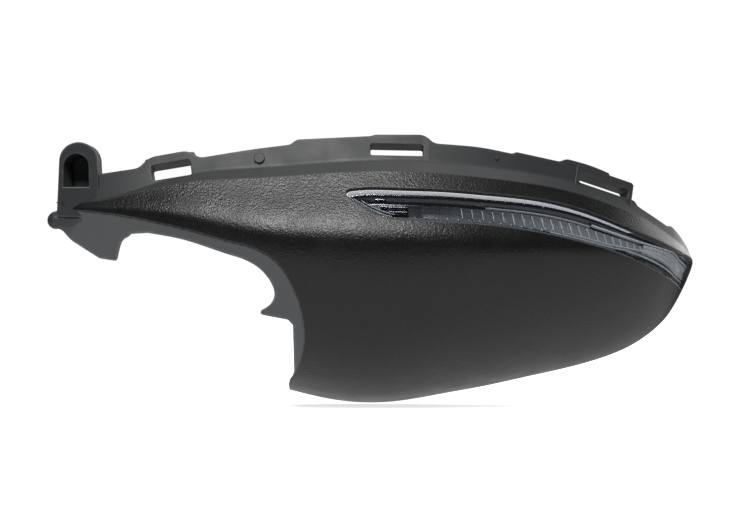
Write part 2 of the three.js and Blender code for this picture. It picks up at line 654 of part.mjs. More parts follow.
function buildHousing() {
  let tray = lampBlock({ inset: -TRAY_MARGIN, from: HOLLOW_START - 0.012, near: TRAY_FRONT, far: TRAY_DEPTH });
  for (const fixing of LAMP_FIXINGS) tray = tray.add(lug(fixing));
  tray = tray.add(plugBox(PLUG.width, PLUG.height, 0, PLUG.length));
  const cuts = [
    lampBlock({ from: HOLLOW_START, inset: TRAY_WALL - TRAY_MARGIN, near: 0, far: TRAY_DEPTH - TRAY_WALL }),
    plugBox(PLUG.width - 2 * PLUG.wall, PLUG.height - 2 * PLUG.wall, PLUG.floor + TRAY_WALL / 2,
      PLUG.length + 1),
    ...pinOffsets().map((x) => placed(pinGeometry(PIN + 2 * GAP).translate(x, 0, 0), plugFrame())),
    ...LAMP_FIXINGS.map((f) => post(fixingFrame(f, LUG_DEPTH + LUG_THICK + 1),
      LAMP_SCREW_RADIUS + 0.35, LUG_THICK + 2, 12)),
    post(lampFrame(VENT.s, TRAY_DEPTH + 1), VENT.hole, TRAY_WALL + 2, 12),
  ];
  for (const cutter of cuts) tray = tray.subtract(cutter);
  return mainBody(tray);
}

// A metallised bezel plate around the light guide and the end optic.
const BEZEL_INSET = LENS_LEG_WIDTH + GAP;
const GUIDE_TOP = 5;
const GUIDE_BOTTOM = 3.5;
function buildBezel() {
  const window = lampBand({ stations: spread(GUIDE_START - 0.005, LAMP_END - 0.03, 48),
    top: GUIDE_TOP - GAP, bottom: GUIDE_BOTTOM - GAP, near: 3, far: 7, across: 1 });
  return lampBlock({ from: HOLLOW_START, inset: BEZEL_INSET, near: 4.4, far: 5.4 })
    .subtract(window);
}

// Evenly pitched cells along a band: stations, and a depth for each, stepping at every cell edge.
function cells(from, to, pitch, profile) {
  const count = Math.round(((to - from) * STATION_LENGTH) / pitch);
  const width = (to - from) / count;
  const stations = [];
  const depths = [];
  for (let i = 0; i < count; i++)
    for (const [share, depth] of profile) {
      stations.push(from + (i + share) * width);
      depths.push(depth);
    }
  stations.push(to);
  depths.push(profile[0][1]);
  return { stations, depths };
}

// The light guide: a clear bar with a prism notch across its back at every pitch, and a leg at its
// inboard end that reaches back to its LED.
function buildGuide() {
  const { stations, depths } = cells(GUIDE_START, OPTIC_START - 0.002, GUIDE_PITCH,
    [[0, GUIDE_BACK], [0.32, GUIDE_BACK], [0.5, GUIDE_BACK - 1.2], [0.68, GUIDE_BACK]]);
  const bar = lampBand({ stations, top: GUIDE_TOP, bottom: GUIDE_BOTTOM, near: GUIDE_FRONT, far: depths });
  const leg = new THREE.BoxGeometry(2.6, 2.6, LED_FRONT - GAP - GUIDE_BACK + 1.4);
  leg.translate(0, 0, -(LED_FRONT - GAP - GUIDE_BACK + 1.4) / 2);
  return bar.add(placed(leg, lampFrame(GUIDE_LEG, GUIDE_BACK - 1.4)));
}

// Ribbed end optic
function buildOptic() {
  const { stations, depths } = cells(OPTIC_START + 0.004, LAMP_END - 0.036, OPTIC_PITCH,
    [[0, 4], [0.5, 3.2]]);
  return lampBand({ stations, top: GUIDE_TOP, bottom: GUIDE_BOTTOM, near: depths, far: 6 });
}

const REFLECTOR_FRONT = TRAY_FRONT + 0.6;
const REFLECTOR_THICK = 0.8;
function reflector(from, to) {
  return lampBand({ stations: spread(from, to, 20), top: 3, bottom: 2.6, near: REFLECTOR_FRONT,
    far: REFLECTOR_FRONT + REFLECTOR_THICK });
}

const MAIN_BOARD = { s: 0.1, length: 36, height: 6.6 };
const END_BOARD = { s: 0.79, length: 20, height: 5 };
const BOARD_DEPTH = TRAY_DEPTH - 5;
const BOARD_THICK = 1;
const LED = { size: 2.2, thick: 0.9 };
const LED_FRONT = BOARD_DEPTH - LED.thick - GAP;
const GUIDE_LEG = 0.04;
const guideLedX = () => {
  const along = V(0, 0, 0).setFromMatrixColumn(lampFrame(MAIN_BOARD.s, BOARD_DEPTH), 0);
  const step = V(0, 0, 0).setFromMatrixPosition(lampFrame(GUIDE_LEG, BOARD_DEPTH))
    .sub(V(0, 0, 0).setFromMatrixPosition(lampFrame(MAIN_BOARD.s, BOARD_DEPTH)));
  return step.dot(along);
};
const END_LEDS = [-7, 0, 7];

function endReflector() {
  return END_LEDS.reduce((sheet, x) => sheet.subtract(
    onBoard(END_BOARD, x, 0, [LED.size + 0.8, LED.size + 0.8, 12])), reflector(OPTIC_START + 0.004, 0.93));
}

const board = ({ s, length, height }) =>
  placed(new THREE.BoxGeometry(length, height, BOARD_THICK).translate(0, 0, -BOARD_THICK / 2),
    lampFrame(s, BOARD_DEPTH));
const onBoard = (boardSpec, x, y, [w, h, t]) =>
  placed(new THREE.BoxGeometry(w, h, t).translate(x, y, t / 2 + GAP), lampFrame(boardSpec.s, BOARD_DEPTH));

// A contact pin: from behind the main board through the tray's back into the plug socket.
const PIN = 0.8;
const PIN_PITCH = 2.5;
const PIN_COUNT = 3;
const pinOffsets = () => spread(-PIN_PITCH, PIN_PITCH, PIN_COUNT - 1);
const pinGeometry = (thick) =>
  new THREE.BoxGeometry(thick, thick, PLUG.length).translate(0, 0, 2.6 - PLUG.length / 2);

function lampScrew(fixing) {
  const head = post(fixingFrame(fixing, LUG_DEPTH + LUG_THICK + GAP + 1.6), 2.4, 1.6, 16);
  const shank = post(fixingFrame(fixing, LUG_DEPTH + LUG_THICK + GAP), LAMP_SCREW_RADIUS, 7, 12);
  const drive = new THREE.CylinderGeometry(1, 1, 2, 6).rotateX(Math.PI / 2);
  return head.add(shank).subtract(placed(drive, fixingFrame(fixing, LUG_DEPTH + LUG_THICK + GAP + 1.6)));
}

function ribbon() {
  return lampBand({ stations: spread(0.215, 0.715, 20), top: 5.4, bottom: 5.4, across: 1,
    near: BOARD_DEPTH + 1.6, far: BOARD_DEPTH + 1.9 });
}

// ---- Assembly -----------------------------------------------------------------------------------

const material = (color, roughness, metalness = 0, opacity = 1) => new THREE.MeshStandardMaterial({
  color, roughness, metalness, opacity, transparent: opacity < 1,
});
const COVER_PLASTIC = material(0x232427, 0.62);
const CLEAR = material(0xe8edf2, 0.08, 0, 0.32);
const HOUSING_PLASTIC = material(0x151617, 0.5);
const METALLISED = material(0x9aa0a8, 0.18, 0.95);
const BOARD = material(0x1f5a35, 0.55);
const CHIP = material(0x121212, 0.45);
const RESISTOR = material(0x2a2c30, 0.4);
const LED_BODY = material(0xf2e9b8, 0.3);
const TINNED = material(0xc9a64e, 0.3, 0.9);
const STEEL = material(0x8b9096, 0.35, 0.9);
const RUBBER = material(0x1b1b1c, 0.85);
const MEMBRANE = material(0xd8d9da, 0.8);
const FLEX = material(0xb07a24, 0.5);

const mirrorCover = new THREE.Group();
const lift = new THREE.Group();
lift.position.set(-PAD.x, -SEAT_Y, -PAD.z);
mirrorCover.add(lift);

function addNode(name, solid, look) {
  const mesh = new THREE.Mesh(toGeometry(solid), look);
  mesh.name = name;
  lift.add(mesh);
}

addNode("lower_cover", buildCover(), COVER_PLASTIC);
addNode("lamp_lens", buildLens(), CLEAR);
addNode("lamp_gasket", buildGasket(), RUBBER);
addNode("lamp_housing", buildHousing(), HOUSING_PLASTIC);
addNode("lamp_bezel", buildBezel(), METALLISED);
addNode("light_guide", buildGuide(), CLEAR);
addNode("end_optic", buildOptic(), CLEAR);
addNode("guide_reflector", reflector(0.062, OPTIC_START - 0.004), METALLISED);
addNode("end_reflector", endReflector(), METALLISED);
addNode("main_circuit_board", board(MAIN_BOARD), BOARD);
addNode("end_circuit_board", board(END_BOARD), BOARD);
addNode("board_link_ribbon", ribbon(), FLEX);
addNode("guide_led", onBoard(MAIN_BOARD, guideLedX(), 0, [LED.size, LED.size, LED.thick - GAP]), LED_BODY);
END_LEDS.forEach((x, i) =>
  addNode(`end_led_${i + 1}`, onBoard(END_BOARD, x, 0, [LED.size, LED.size, LED.thick - GAP]), LED_BODY));
addNode("driver_chip", onBoard(MAIN_BOARD, 2, 0, [4.4, 4, 1.2]), CHIP);
addNode("resistor_1", onBoard(MAIN_BOARD, 8, 1.6, [2, 1.2, 0.6]), RESISTOR);
addNode("resistor_2", onBoard(MAIN_BOARD, 8, -1.6, [2, 1.2, 0.6]), RESISTOR);
addNode("resistor_3", onBoard(END_BOARD, -4, 0, [1.2, 2, 0.6]), RESISTOR);
addNode("capacitor", onBoard(MAIN_BOARD, 13, 0, [3, 2.4, 1.4]), CHIP);
pinOffsets().forEach((x, i) =>
  addNode(`connector_pin_${i + 1}`, placed(pinGeometry(PIN).translate(x, 0, 0), plugFrame()), TINNED));
addNode("vent_membrane", post(lampFrame(VENT.s, TRAY_DEPTH + GAP + VENT.thick), VENT.radius, VENT.thick), MEMBRANE);
LAMP_FIXINGS.forEach((f, i) => addNode(`lamp_screw_${i + 1}`, lampScrew(f), STEEL));

export default mirrorCover;
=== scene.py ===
import math

import bpy
import numpy as np
from mathutils import Matrix, Vector


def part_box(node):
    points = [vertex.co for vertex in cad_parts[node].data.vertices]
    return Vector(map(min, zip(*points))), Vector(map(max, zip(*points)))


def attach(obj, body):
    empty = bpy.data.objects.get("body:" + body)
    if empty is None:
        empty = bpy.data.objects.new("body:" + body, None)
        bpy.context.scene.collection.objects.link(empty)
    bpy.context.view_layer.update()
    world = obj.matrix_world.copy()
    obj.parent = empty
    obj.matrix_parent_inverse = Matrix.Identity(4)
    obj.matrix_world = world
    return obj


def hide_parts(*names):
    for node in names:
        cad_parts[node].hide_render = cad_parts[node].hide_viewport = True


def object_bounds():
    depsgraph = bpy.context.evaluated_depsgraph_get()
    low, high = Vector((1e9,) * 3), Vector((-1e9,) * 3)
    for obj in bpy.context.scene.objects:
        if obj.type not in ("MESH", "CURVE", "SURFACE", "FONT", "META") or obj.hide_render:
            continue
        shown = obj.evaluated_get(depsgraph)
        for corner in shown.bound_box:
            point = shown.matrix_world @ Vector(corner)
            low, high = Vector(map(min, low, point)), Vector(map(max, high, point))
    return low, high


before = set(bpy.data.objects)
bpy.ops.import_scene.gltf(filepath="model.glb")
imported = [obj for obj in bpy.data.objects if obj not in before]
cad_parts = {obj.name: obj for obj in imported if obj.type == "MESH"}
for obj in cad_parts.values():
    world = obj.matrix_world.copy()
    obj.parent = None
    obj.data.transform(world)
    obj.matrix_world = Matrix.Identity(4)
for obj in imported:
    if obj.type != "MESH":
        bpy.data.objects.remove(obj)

cad_box = [list(corner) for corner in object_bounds()]

# ---- Driving dimensions, in the cover's own millimetres ----
# The cover's shape is computed again here from the same curves as its CAD solid, on a finer mesh.
NOSE_X = 10
NOSE_LENGTH = 129
NOSE_DEPTH = 72
NOSE_TURN = math.radians(88)
ARM_REACH = 139
ARM_SWEEP = 0.0012
WALL = 2.5
LIP_Y = 72
LIP_LENGTH = 117
FACE_LEAN = 0.45
FLANGE_LEAN = 0.3
SHOULDER_SETBACK = 3.4
FLANGE_STOCK = 30
FLANGE_END = 0.577
COLLAR_SLOPE = 0.45
COLLAR_DEPTH = 4
SEAT_Y = 40
PAD = (28, -36, 14, 9)
TAB_THICK = 8
LAMP_START = -0.0965
LAMP_END = 0.962
LENS_GAP = 0.45
LENS_CORNER = 0.7
LENS_THICK = 1.5
EDGE_RADIUS = 0.3  # rounding of the cover's moulded edges
RIDGE_V = 0.4

# The cover's solid in these millimetres runs from KNOB_X to TIP_X, so its packed box gives the scale.
KNOB_X = -132.6
TIP_X = 138.97
LIP_Z = -61.9


def spline(points):
    """Natural cubic spline through (position, value) pairs, for arrays."""
    x, y = np.array(points, float).T
    n = len(x)
    step, slope = np.diff(x), np.diff(y) / np.diff(x)
    matrix, bend = np.eye(n), np.zeros(n)
    for i in range(1, n - 1):
        matrix[i, i - 1:i + 2] = step[i - 1], 2 * (step[i - 1] + step[i]), step[i]
        bend[i] = 6 * (slope[i] - slope[i - 1])
    second = np.linalg.solve(matrix, bend)

    def at(q):
        q = np.asarray(q, float)
        i = np.clip(np.searchsorted(x, q) - 1, 0, n - 2)
        h = x[i + 1] - x[i]
        a = (x[i + 1] - q) / h
        b = 1 - a
        return a * y[i] + b * y[i + 1] + ((a**3 - a) * second[i] + (b**3 - b) * second[i + 1]) * h * h / 6

    return at


# Stations s run along the cover: 0 where the nose starts to turn, 1 at its tip, ARM_END at the arm's end.
STATION_LENGTH = NOSE_LENGTH * NOSE_TURN
ARM_END = -ARM_REACH / STATION_LENGTH
split_height = spline([
    (-0.71, 22.3), (-0.59, 24.6), (-0.5, 28.5), (-0.43, 31.2), (-0.3, 32.9), (-0.05, 35.7), (0.1, 35),
    (0.22, 33), (0.35, 30.2), (0.47, 26.1), (0.55, 22.2), (0.65, 17.5), (0.72, 13), (0.8, 8.1),
    (0.86, 5.2), (0.93, 2.8), (1, 0.9)])
ridge_height = spline([
    (-0.71, 20.6), (-0.58, 20), (-0.42, 15.5), (-0.25, 8.5), (-0.1, 6.5), (0, 6), (0.43, 4.5),
    (0.79, 2), (1, -1.8)])
lip_height = spline([
    (-0.71, -44), (-0.3, -52.5), (-0.216, -56.8), (-0.13, -60.6), (-0.04, -61.9), (0.03, -60.8),
    (0.12, -58), (0.215, -55), (0.316, -51.4), (0.427, -47.7), (0.555, -43.2), (0.674, -38.2),
    (0.85, -29.6), (1, -24)])
shoulder_rise = spline([
    (-0.71, 0.6), (-0.56, 0.8), (-0.43, 3.1), (-0.2, 4.5), (0.2, 4.8), (0.5, 5), (0.66, 5),
    (0.75, 4.6), (0.81, 3.8), (0.88, 2.1), (0.96, 1.1), (1, 0.7)])
shoulder_fade = spline([
    (-0.71, 0.3), (-0.56, 0.4), (-0.43, 0.9), (-0.3, 1), (0.5, 1), (0.75, 0.35), (1, 0.1)])
lens_top = spline([
    (-12, 27.4), (-4, 28.4), (12, 28.3), (28, 27.8), (48, 26.3), (75, 23.0), (95, 17.3), (113, 10.2),
    (131, 2.4), (138, -1.6)])
lens_bottom = spline([
    (-10.5, 27), (-7.5, 24.4), (-4.2, 22.3), (0, 19.8), (4, 18), (8.3, 16.7), (15, 16.1), (28, 15.5),
    (48, 14.2), (64, 12.1), (88, 7), (112, -1), (128, -9.2), (134, -13)])

# Front-view outlines: (x, z) or (x, z, corner radius).
RIM_OUTLINE = [
    (-140, 90), (-140, 31.5), (-112.5, 34.8, 2), (-94.8, 37.3, 2), (-90.6, 41.8, 3), (-74.6, 44.6, 3),
    (-69.8, 41.5, 2), (-49, 44.9, 8), (-32.6, 46.9, 1), (-30.1, 49, 1), (0.4, 50.4, 1), (2, 51, 1),
    (22.4, 51, 3.5), (26.2, 47.4, 2), (45, 46.1, 20), (58.7, 43.3, 1), (60, 44.1, 1), (78.3, 40.3, 1),
    (81.3, 41.5, 1.5), (92, 38.8, 6), (106, 33, 5), (110.2, 25, 3), (111.6, 22.2, 1), (125, 14),
    (150, 14), (150, 90)]
NOTCH_EDGE = [
    (-131.5, 17.8), (-121.6, 19.8), (-106.5, 18.4), (-92.3, 16), (-75, 12.1), (-58, 7.4), (-48.3, 4.9),
    (-41, 1.4), (-35.8, -3.4), (-31.2, -11.5), (-28.2, -20), (-27, -29), (-27.6, -37.5), (-31, -47),
    (-34.5, -53)]
FIN_EDGE = [
    (-129.9, 13.1, 1), (-126.5, 11.7, 1), (-123.8, 8.1, 3), (-118, 4.4, 6), (-111.2, 0.2, 0.6),
    (-104.2, -0.8, 0.6), (-102.8, 4.5, 2), (-101.4, 8.1, 4), (-96.3, 10.1, 3)]
ARCH_EDGE = [
    (-90.5, 10.6), (-75.6, 7.8), (-59, 2.4), (-50.9, -0.2), (-44.9, -3.6), (-40.5, -8.7),
    (-38.7, -13.9), (-40.4, -18.2), (-44.6, -21)]
HOOK_EDGE = [
    (-44.8, -22.4), (-43.1, -23), (-33.4, -24.8), (-31.5, -27.1), (-31.7, -46.8), (-33, -50)]


# ---- The skin ----

def vec(*parts):
    return np.stack(np.broadcast_arrays(*[np.asarray(p, float) for p in parts]), -1)


def full_turn(count):
    return np.linspace(0, 2 * math.pi, count, endpoint=False)


def grid(a, b):
    return np.meshgrid(a, b, indexing="ij")


UP = vec(0, 0, 1)


def unit(v):
    return v / np.maximum(np.linalg.norm(v, axis=-1, keepdims=True), 1e-12)


def station(s):
    """Ridge, split line, lip and the level direction into the cover, at each station."""
    s = np.asarray(s, float)
    turn = np.maximum(0, s) * NOSE_TURN
    x = np.where(s <= 0, NOSE_X + s * STATION_LENGTH, NOSE_X + NOSE_LENGTH * np.sin(turn))
    y = np.where(s <= 0, ARM_SWEEP * (x - NOSE_X) ** 2, NOSE_DEPTH * (1 - np.cos(turn)))
    inward = vec(-np.sin(turn), np.cos(turn), 0)
    ridge = vec(x, y, ridge_height(s))
    rise = (split_height(s) - ridge_height(s))[..., None]
    split = ridge + inward * FACE_LEAN * rise + UP * rise
    lip = vec(np.where(s <= 0, x, NOSE_X + LIP_LENGTH * np.sin(turn)), LIP_Y, lip_height(s))
    return inward, ridge, split, lip, rise


def bezier(p0, p1, p2, p3, t):
    u = 1 - t
    return p0 * u**3 + p1 * 3 * u * u * t + p2 * 3 * u * t * t + p3 * t**3


def skin(s, v):
    """Points of the skin's outer surface: s runs along the cover, v from the split line to the lip."""
    s, v = np.broadcast_arrays(np.asarray(s, float), np.asarray(v, float))
    inward, ridge, split, lip, rise = station(s)
    upper = bezier(split, split + (-UP - inward * 0.5) * rise * 0.5, ridge + UP * rise * 0.24, ridge,
            np.clip(v / RIDGE_V, None, 1)[..., None])
    drop = (ridge[..., 2] - lip[..., 2])[..., None]
    forward = (ridge - lip) * (1, 1, 0)
    tuck = np.maximum(0, s)[..., None]
    lower = bezier(ridge, ridge - UP * drop * (0.36 - 0.2 * tuck), lip + forward * (0.55 - 0.3 * tuck), lip,
            np.clip((v - RIDGE_V) / (1 - RIDGE_V), 0, None)[..., None])
    return np.where((v <= RIDGE_V)[..., None], upper, lower)


def skin_normal(s, v):
    d = 2e-3
    s, v = np.clip(s, ARM_END + d, 1 - d), np.clip(v, d, 1 - d)
    return unit(np.cross(skin(s, v + d) - skin(s, v - d), skin(s + d, v) - skin(s - d, v)))


def below(s, v, depth):
    return skin(s, v) - skin_normal(s, v) * np.asarray(depth, float)[..., None]


def skin_speed(s, v):
    """Millimetres along the skin for a unit of v."""
    d = 1e-3
    return np.linalg.norm(skin(s, v + d) - skin(s, v - d), axis=-1) / (2 * d)


def across_at(s, height, shift=0):
    """Where across the skin a front-view line height(x) is crossed, moved down by shift millimetres."""
    s = np.asarray(s, float)
    low, high = np.zeros(s.shape), np.ones(s.shape)
    for _ in range(30):
        mid = (low + high) / 2
        p = skin(s, mid)
        above = p[..., 2] > height(p[..., 0])
        low, high = np.where(above, mid, low), np.where(above, high, mid)
    steps = math.ceil(abs(shift) / 0.1)
    for _ in range(steps):
        low = low + shift / steps / skin_speed(s, low + math.copysign(1e-3, shift))
    return low


def skin_depth(x, z):
    """Depth (Y) of the skin's outer surface at front-view points."""
    x, z = np.broadcast_arrays(np.asarray(x, float), np.asarray(z, float))
    s = (x - NOSE_X) / STATION_LENGTH
    for _ in range(16):
        p = skin(s, across_at(s, lambda _: z))
        s = np.clip(s + (x - p[..., 0]) / STATION_LENGTH, ARM_END, 0.99)
    return p[..., 1]


# ---- Outlines and distances ----

def fillet(before, corner, after, reach, count=6):
    """Points that round a corner, from reach before it to reach after it."""
    a = corner + unit(before - corner) * reach
    b = corner + unit(after - corner) * reach
    return [a * (1 - t) ** 2 + corner * 2 * t * (1 - t) + b * t * t for t in np.linspace(0, 1, count)]


def rounded(corners):
    """A closed outline through (x, z, radius) corners, each rounded by its radius."""
    out = []
    pts = [np.array(c[:2], float) for c in corners]
    for i, c in enumerate(corners):
        at, before, after = pts[i], pts[i - 1], pts[(i + 1) % len(pts)]
        near = min(np.linalg.norm(before - at), np.linalg.norm(after - at)) / 2.05
        cut = min(c[2], near) if len(c) > 2 else 0
        out += fillet(before, at, after, cut) if cut > 0 else [at]
    return np.array(out)


def smooth_line(points, count):
    """Catmull-Rom curve through points."""
    p = np.array([q[:2] for q in points], float)
    n = len(p)
    out = []
    for t in np.linspace(0, n - 1, count + 1):
        i = min(int(t), n - 2)
        w = t - i
        p0, p1, p2, p3 = p[max(i - 1, 0)], p[i], p[i + 1], p[min(i + 2, n - 1)]
        v0, v1 = (p2 - p0) / 2, (p3 - p1) / 2
        out.append((2 * p1 - 2 * p2 + v0 + v1) * w**3 + (-3 * p1 + 3 * p2 - 2 * v0 - v1) * w**2 + v0 * w + p1)
    return np.array(out)


def inside_distance(x, z, outline):
    """Distance to a closed outline, positive inside it."""
    a, b = outline, np.roll(outline, -1, 0)
    ab = b - a
    keep = (ab**2).sum(-1) > 1e-9
    a, ab = a[keep], ab[keep]
    p = np.stack([x, z], -1).reshape(-1, 1, 2)
    t = np.clip(((p - a) * ab).sum(-1) / (ab**2).sum(-1), 0, 1)
    d = np.linalg.norm(p - a - t[..., None] * ab, axis=-1).min(-1)
    px, pz = p[..., 0], p[..., 1]
    b = a + ab
    crosses = (a[:, 1] > pz) != (b[:, 1] > pz)
    with np.errstate(divide="ignore", invalid="ignore"):
        at = a[:, 0] + (pz - a[:, 1]) / np.where(ab[:, 1] == 0, np.inf, ab[:, 1]) * ab[:, 0]
    odd = (crosses & (px < at)).sum(-1) % 2 == 1
    return np.where(odd, d, -d).reshape(np.shape(x))


NOTCH_LINE = smooth_line(NOTCH_EDGE, 140)
NOTCH_REGION = np.vstack([NOTCH_LINE, [(-36, -90), (-160, -90), (-160, 17.6)]])
NOTCH_DEPTHS = skin_depth(np.maximum(NOTCH_LINE[:, 0], -128), NOTCH_LINE[:, 1])


def collar_depth(x, z):
    """Depth of the collar's outer face: just behind the skin's edge, sloping back away from it."""
    a, ab = NOTCH_LINE[:-1], np.diff(NOTCH_LINE, axis=0)
    p = np.stack([x, z], -1)[..., None, :]
    t = np.clip(((p - a) * ab).sum(-1) / (ab**2).sum(-1), 0, 1)
    d = np.linalg.norm(p - a - t[..., None] * ab, axis=-1)
    i = d.argmin(-1)[..., None]
    side = np.take_along_axis(ab[:, 0] * (p[..., 1] - a[:, 1]) - ab[:, 1] * (p[..., 0] - a[:, 0]), i, -1)
    y = np.take_along_axis(NOTCH_DEPTHS[:-1] + t * np.diff(NOTCH_DEPTHS), i, -1)
    d = np.take_along_axis(d, i, -1)
    return np.where(side > 0, y + 0.9, y + 0.35 + COLLAR_SLOPE * d)[..., 0]


# ---- Meshes ----

cover_low, cover_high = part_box("lower_cover")
SCALE = (cover_high.x - cover_low.x) / (TIP_X - KNOB_X)
ORIGIN = np.array([cover_low.x - KNOB_X * SCALE, cover_low.y, cover_low.z - LIP_Z * SCALE])


def placed(points):
    """Cover millimetres to the row frame's metres."""
    return np.asarray(points, float) * SCALE + ORIGIN


def add_piece(name, verts, faces, materials, slot, kinds=None, wear_and_highlight=None, node=None):
    """A visible piece on the root body. kinds picks each face's material, and node is what it replaces."""
    mesh = bpy.data.meshes.new(name)
    mesh.from_pydata(placed(verts).tolist(), [], faces)
    for m in materials:
        mesh.materials.append(m)
    if kinds is not None:
        mesh.polygons.foreach_set("material_index", kinds)
    mesh.polygons.foreach_set("use_smooth", [True] * len(faces))
    if wear_and_highlight is not None:
        mesh.attributes.new("wear_and_highlight", "FLOAT", "POINT").data.foreach_set("value", wear_and_highlight)
    mesh.validate()
    obj = bpy.data.objects.new(name, mesh)
    bpy.context.scene.collection.objects.link(obj)
    obj.modifiers.new("faces lead", "WEIGHTED_NORMAL").keep_sharp = True
    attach(obj, "root")
    if node:
        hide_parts(node)


def add_shell(name, made, materials, slot, node=None):
    verts, faces, kinds, wear_and_highlight = made
    add_piece(name, verts, faces, materials, slot, kinds, wear_and_highlight, node)


SNAP_SHARE = 0.3


def snap(points, inner, field):
    """Moves grid points that nearly meet the edge onto it, so that no sliver is left beside it."""
    rows, cols = field.shape
    f = field.ravel().copy()
    pts, ins = points.reshape(-1, 3).copy(), inner.reshape(-1, 3).copy()
    ids = np.arange(rows * cols).reshape(rows, cols)
    a = np.concatenate([ids[:-1].ravel(), ids[:, :-1].ravel()])
    b = np.concatenate([ids[1:].ravel(), ids[:, 1:].ravel()])
    crossing = (f[a] > 0) != (f[b] > 0)
    a, b = a[crossing], b[crossing]
    t = f[a] / (f[a] - f[b])
    near_a, near_b = t < SNAP_SHARE, t > 1 - SNAP_SHARE
    moved = np.concatenate([a[near_a], b[near_b]])
    other = np.concatenate([b[near_a], a[near_b]])
    share = np.concatenate([t[near_a], 1 - t[near_b]])
    order = np.argsort(-share, kind="stable")
    best = {}
    for i in order:
        best[moved[i]] = (other[i], share[i])
    for m, (o, w) in best.items():
        pts[m] += (points.reshape(-1, 3)[o] - pts[m]) * w
        ins[m] += (inner.reshape(-1, 3)[o] - ins[m]) * w
        f[m] = 0
    return pts, ins, f


ROUND_STEPS = 3
SHARPEST_MITER = 0.6
# Share of the edge paling on a face's rim: rubbed wear and a painted edge highlight.
RIM_WEAR_AND_HIGHLIGHT = 0.7


def shell(outer, inner, field, radius=EDGE_RADIUS, kind=None):
    """A closed wall between two grids, trimmed where field, the distance inside its edge, is negative.
    Its edge is rounded on both sides. Gives vertices, faces, a kind for each face, and an edge mask, which the
    plastics use to paint edges paler as rubbed wear and a painted edge highlight."""
    rows, cols = field.shape
    pts, ins, f = snap(outer, inner, field - radius)
    pts, ins = list(pts), list(ins)
    ids = np.arange(rows * cols).reshape(rows, cols)
    quads = np.stack([ids[:-1, :-1], ids[1:, :-1], ids[1:, 1:], ids[:-1, 1:]], -1).reshape(-1, 4)
    kinds = np.zeros((rows - 1, cols - 1), int) if kind is None else kind
    kinds = kinds.ravel()
    sample = quads[np.argmax(f[quads].min(-1))]
    middle = [outer.reshape(-1, 3)[q] for q in sample]
    n = np.cross(middle[1] - middle[0], middle[3] - middle[0])
    if np.dot(n, middle[0] - inner.reshape(-1, 3)[sample[0]]) < 0:
        quads = quads[:, ::-1]
    low = f[quads].min(-1)
    faces = quads[low >= 0].tolist()
    face_kinds = kinds[low >= 0].tolist()
    cuts = {}

    def cut(i, j):
        key = (min(i, j), max(i, j))
        if key not in cuts:
            t = f[i] / (f[i] - f[j])
            cuts[key] = len(pts)
            pts.append(pts[i] * (1 - t) + pts[j] * t)
            ins.append(ins[i] * (1 - t) + ins[j] * t)
        return cuts[key]

    crossed = (low < 0) & (f[quads].max(-1) > 0)
    for quad, k in zip(quads[crossed], kinds[crossed]):
        face = []
        for i, j in zip(quad, np.roll(quad, -1)):
            i, j = int(i), int(j)
            if f[i] >= 0:
                face.append(i)
                if f[j] < 0 and f[i] > 0:
                    face.append(cut(i, j))
            elif f[j] > 0:
                face.append(cut(j, i))
        if len(face) >= 3:
            faces.append(face)
            face_kinds.append(int(k))

    used = sorted({i for face in faces for i in face})
    index = {old: new for new, old in enumerate(used)}
    faces = [[index[i] for i in face] for face in faces]
    pts, ins = np.array(pts)[used], np.array(ins)[used]
    directed = {(a, b): k for k, face in enumerate(faces) for a, b in zip(face, face[1:] + face[:1])}
    edge = [(a, b) for a, b in directed if (b, a) not in directed]
    through = ins - pts
    wall = np.linalg.norm(through, axis=-1, keepdims=True)
    through = through / wall
    out = {}
    for a, b in edge:
        way = np.cross(pts[b] - pts[a], -(through[a] + through[b]))
        way /= max(np.linalg.norm(way), 1e-9)
        out.setdefault(a, []).append(way)
        out.setdefault(b, []).append(way)
    rim = sorted(out)
    rim_at = {v: i for i, v in enumerate(rim)}
    away = unit(np.array([np.sum(out[v], 0) for v in rim]))
    miter = np.array([[1 / max(SHARPEST_MITER, float(np.dot(away[i], out[v][0])))] for i, v in enumerate(rim)])
    away = away * miter
    base, into, deep = pts[rim], through[rim], wall[rim]
    angles = np.linspace(0, math.pi / 2, ROUND_STEPS + 1)[1:]
    rings = [base + away * radius * math.sin(a) + into * radius * (1 - math.cos(a)) for a in angles]
    rings += [base + away * radius * math.cos(a) + into * (deep - radius * (1 - math.sin(a)))
            for a in np.append(0, angles[:-1])]
    count, m = len(pts), len(rim)
    verts = np.vstack([pts, ins, *rings])
    ring_id = [rim]
    ring_id += [[2 * count + r * m + i for i in range(m)] for r in range(len(rings))]
    ring_id += [[count + v for v in rim]]
    faces_all = faces + [[count + i for i in face[::-1]] for face in faces]
    kinds_all = face_kinds + [2] * len(faces)
    for a, b in edge:
        i, j = rim_at[a], rim_at[b]
        for upper, lower in zip(ring_id, ring_id[1:]):
            faces_all.append([upper[j], upper[i], lower[i], lower[j]])
            kinds_all.append(1)
    # Edge mask: rims and rounded edges, painted paler by the plastics as rubbed wear and an edge highlight.
    wear_and_highlight = np.zeros(len(verts))
    wear_and_highlight[rim] = RIM_WEAR_AND_HIGHLIGHT
    wear_and_highlight[2 * count:2 * count + ROUND_STEPS * m] = 1
    return verts, faces_all, kinds_all, wear_and_highlight


def flat_shell(outline, hole, frame_matrix, depth, step=0.8, radius=0.4):
    """A flat plate in a frame's own X, Y plane, its front at Z 0 and its back at -depth."""
    low, high = outline.min(0) - 2 * step, outline.max(0) + 2 * step
    x, y = grid(np.arange(low[0], high[0], step), np.arange(low[1], high[1], step))
    field = inside_distance(x, y, outline)
    if hole is not None:
        field = np.minimum(field, -inside_distance(x, y, hole))
    front = apply(frame_matrix, vec(x, y, 0 * x))
    back = apply(frame_matrix, vec(x, y, 0 * x - depth))
    return shell(front, back, field, radius)


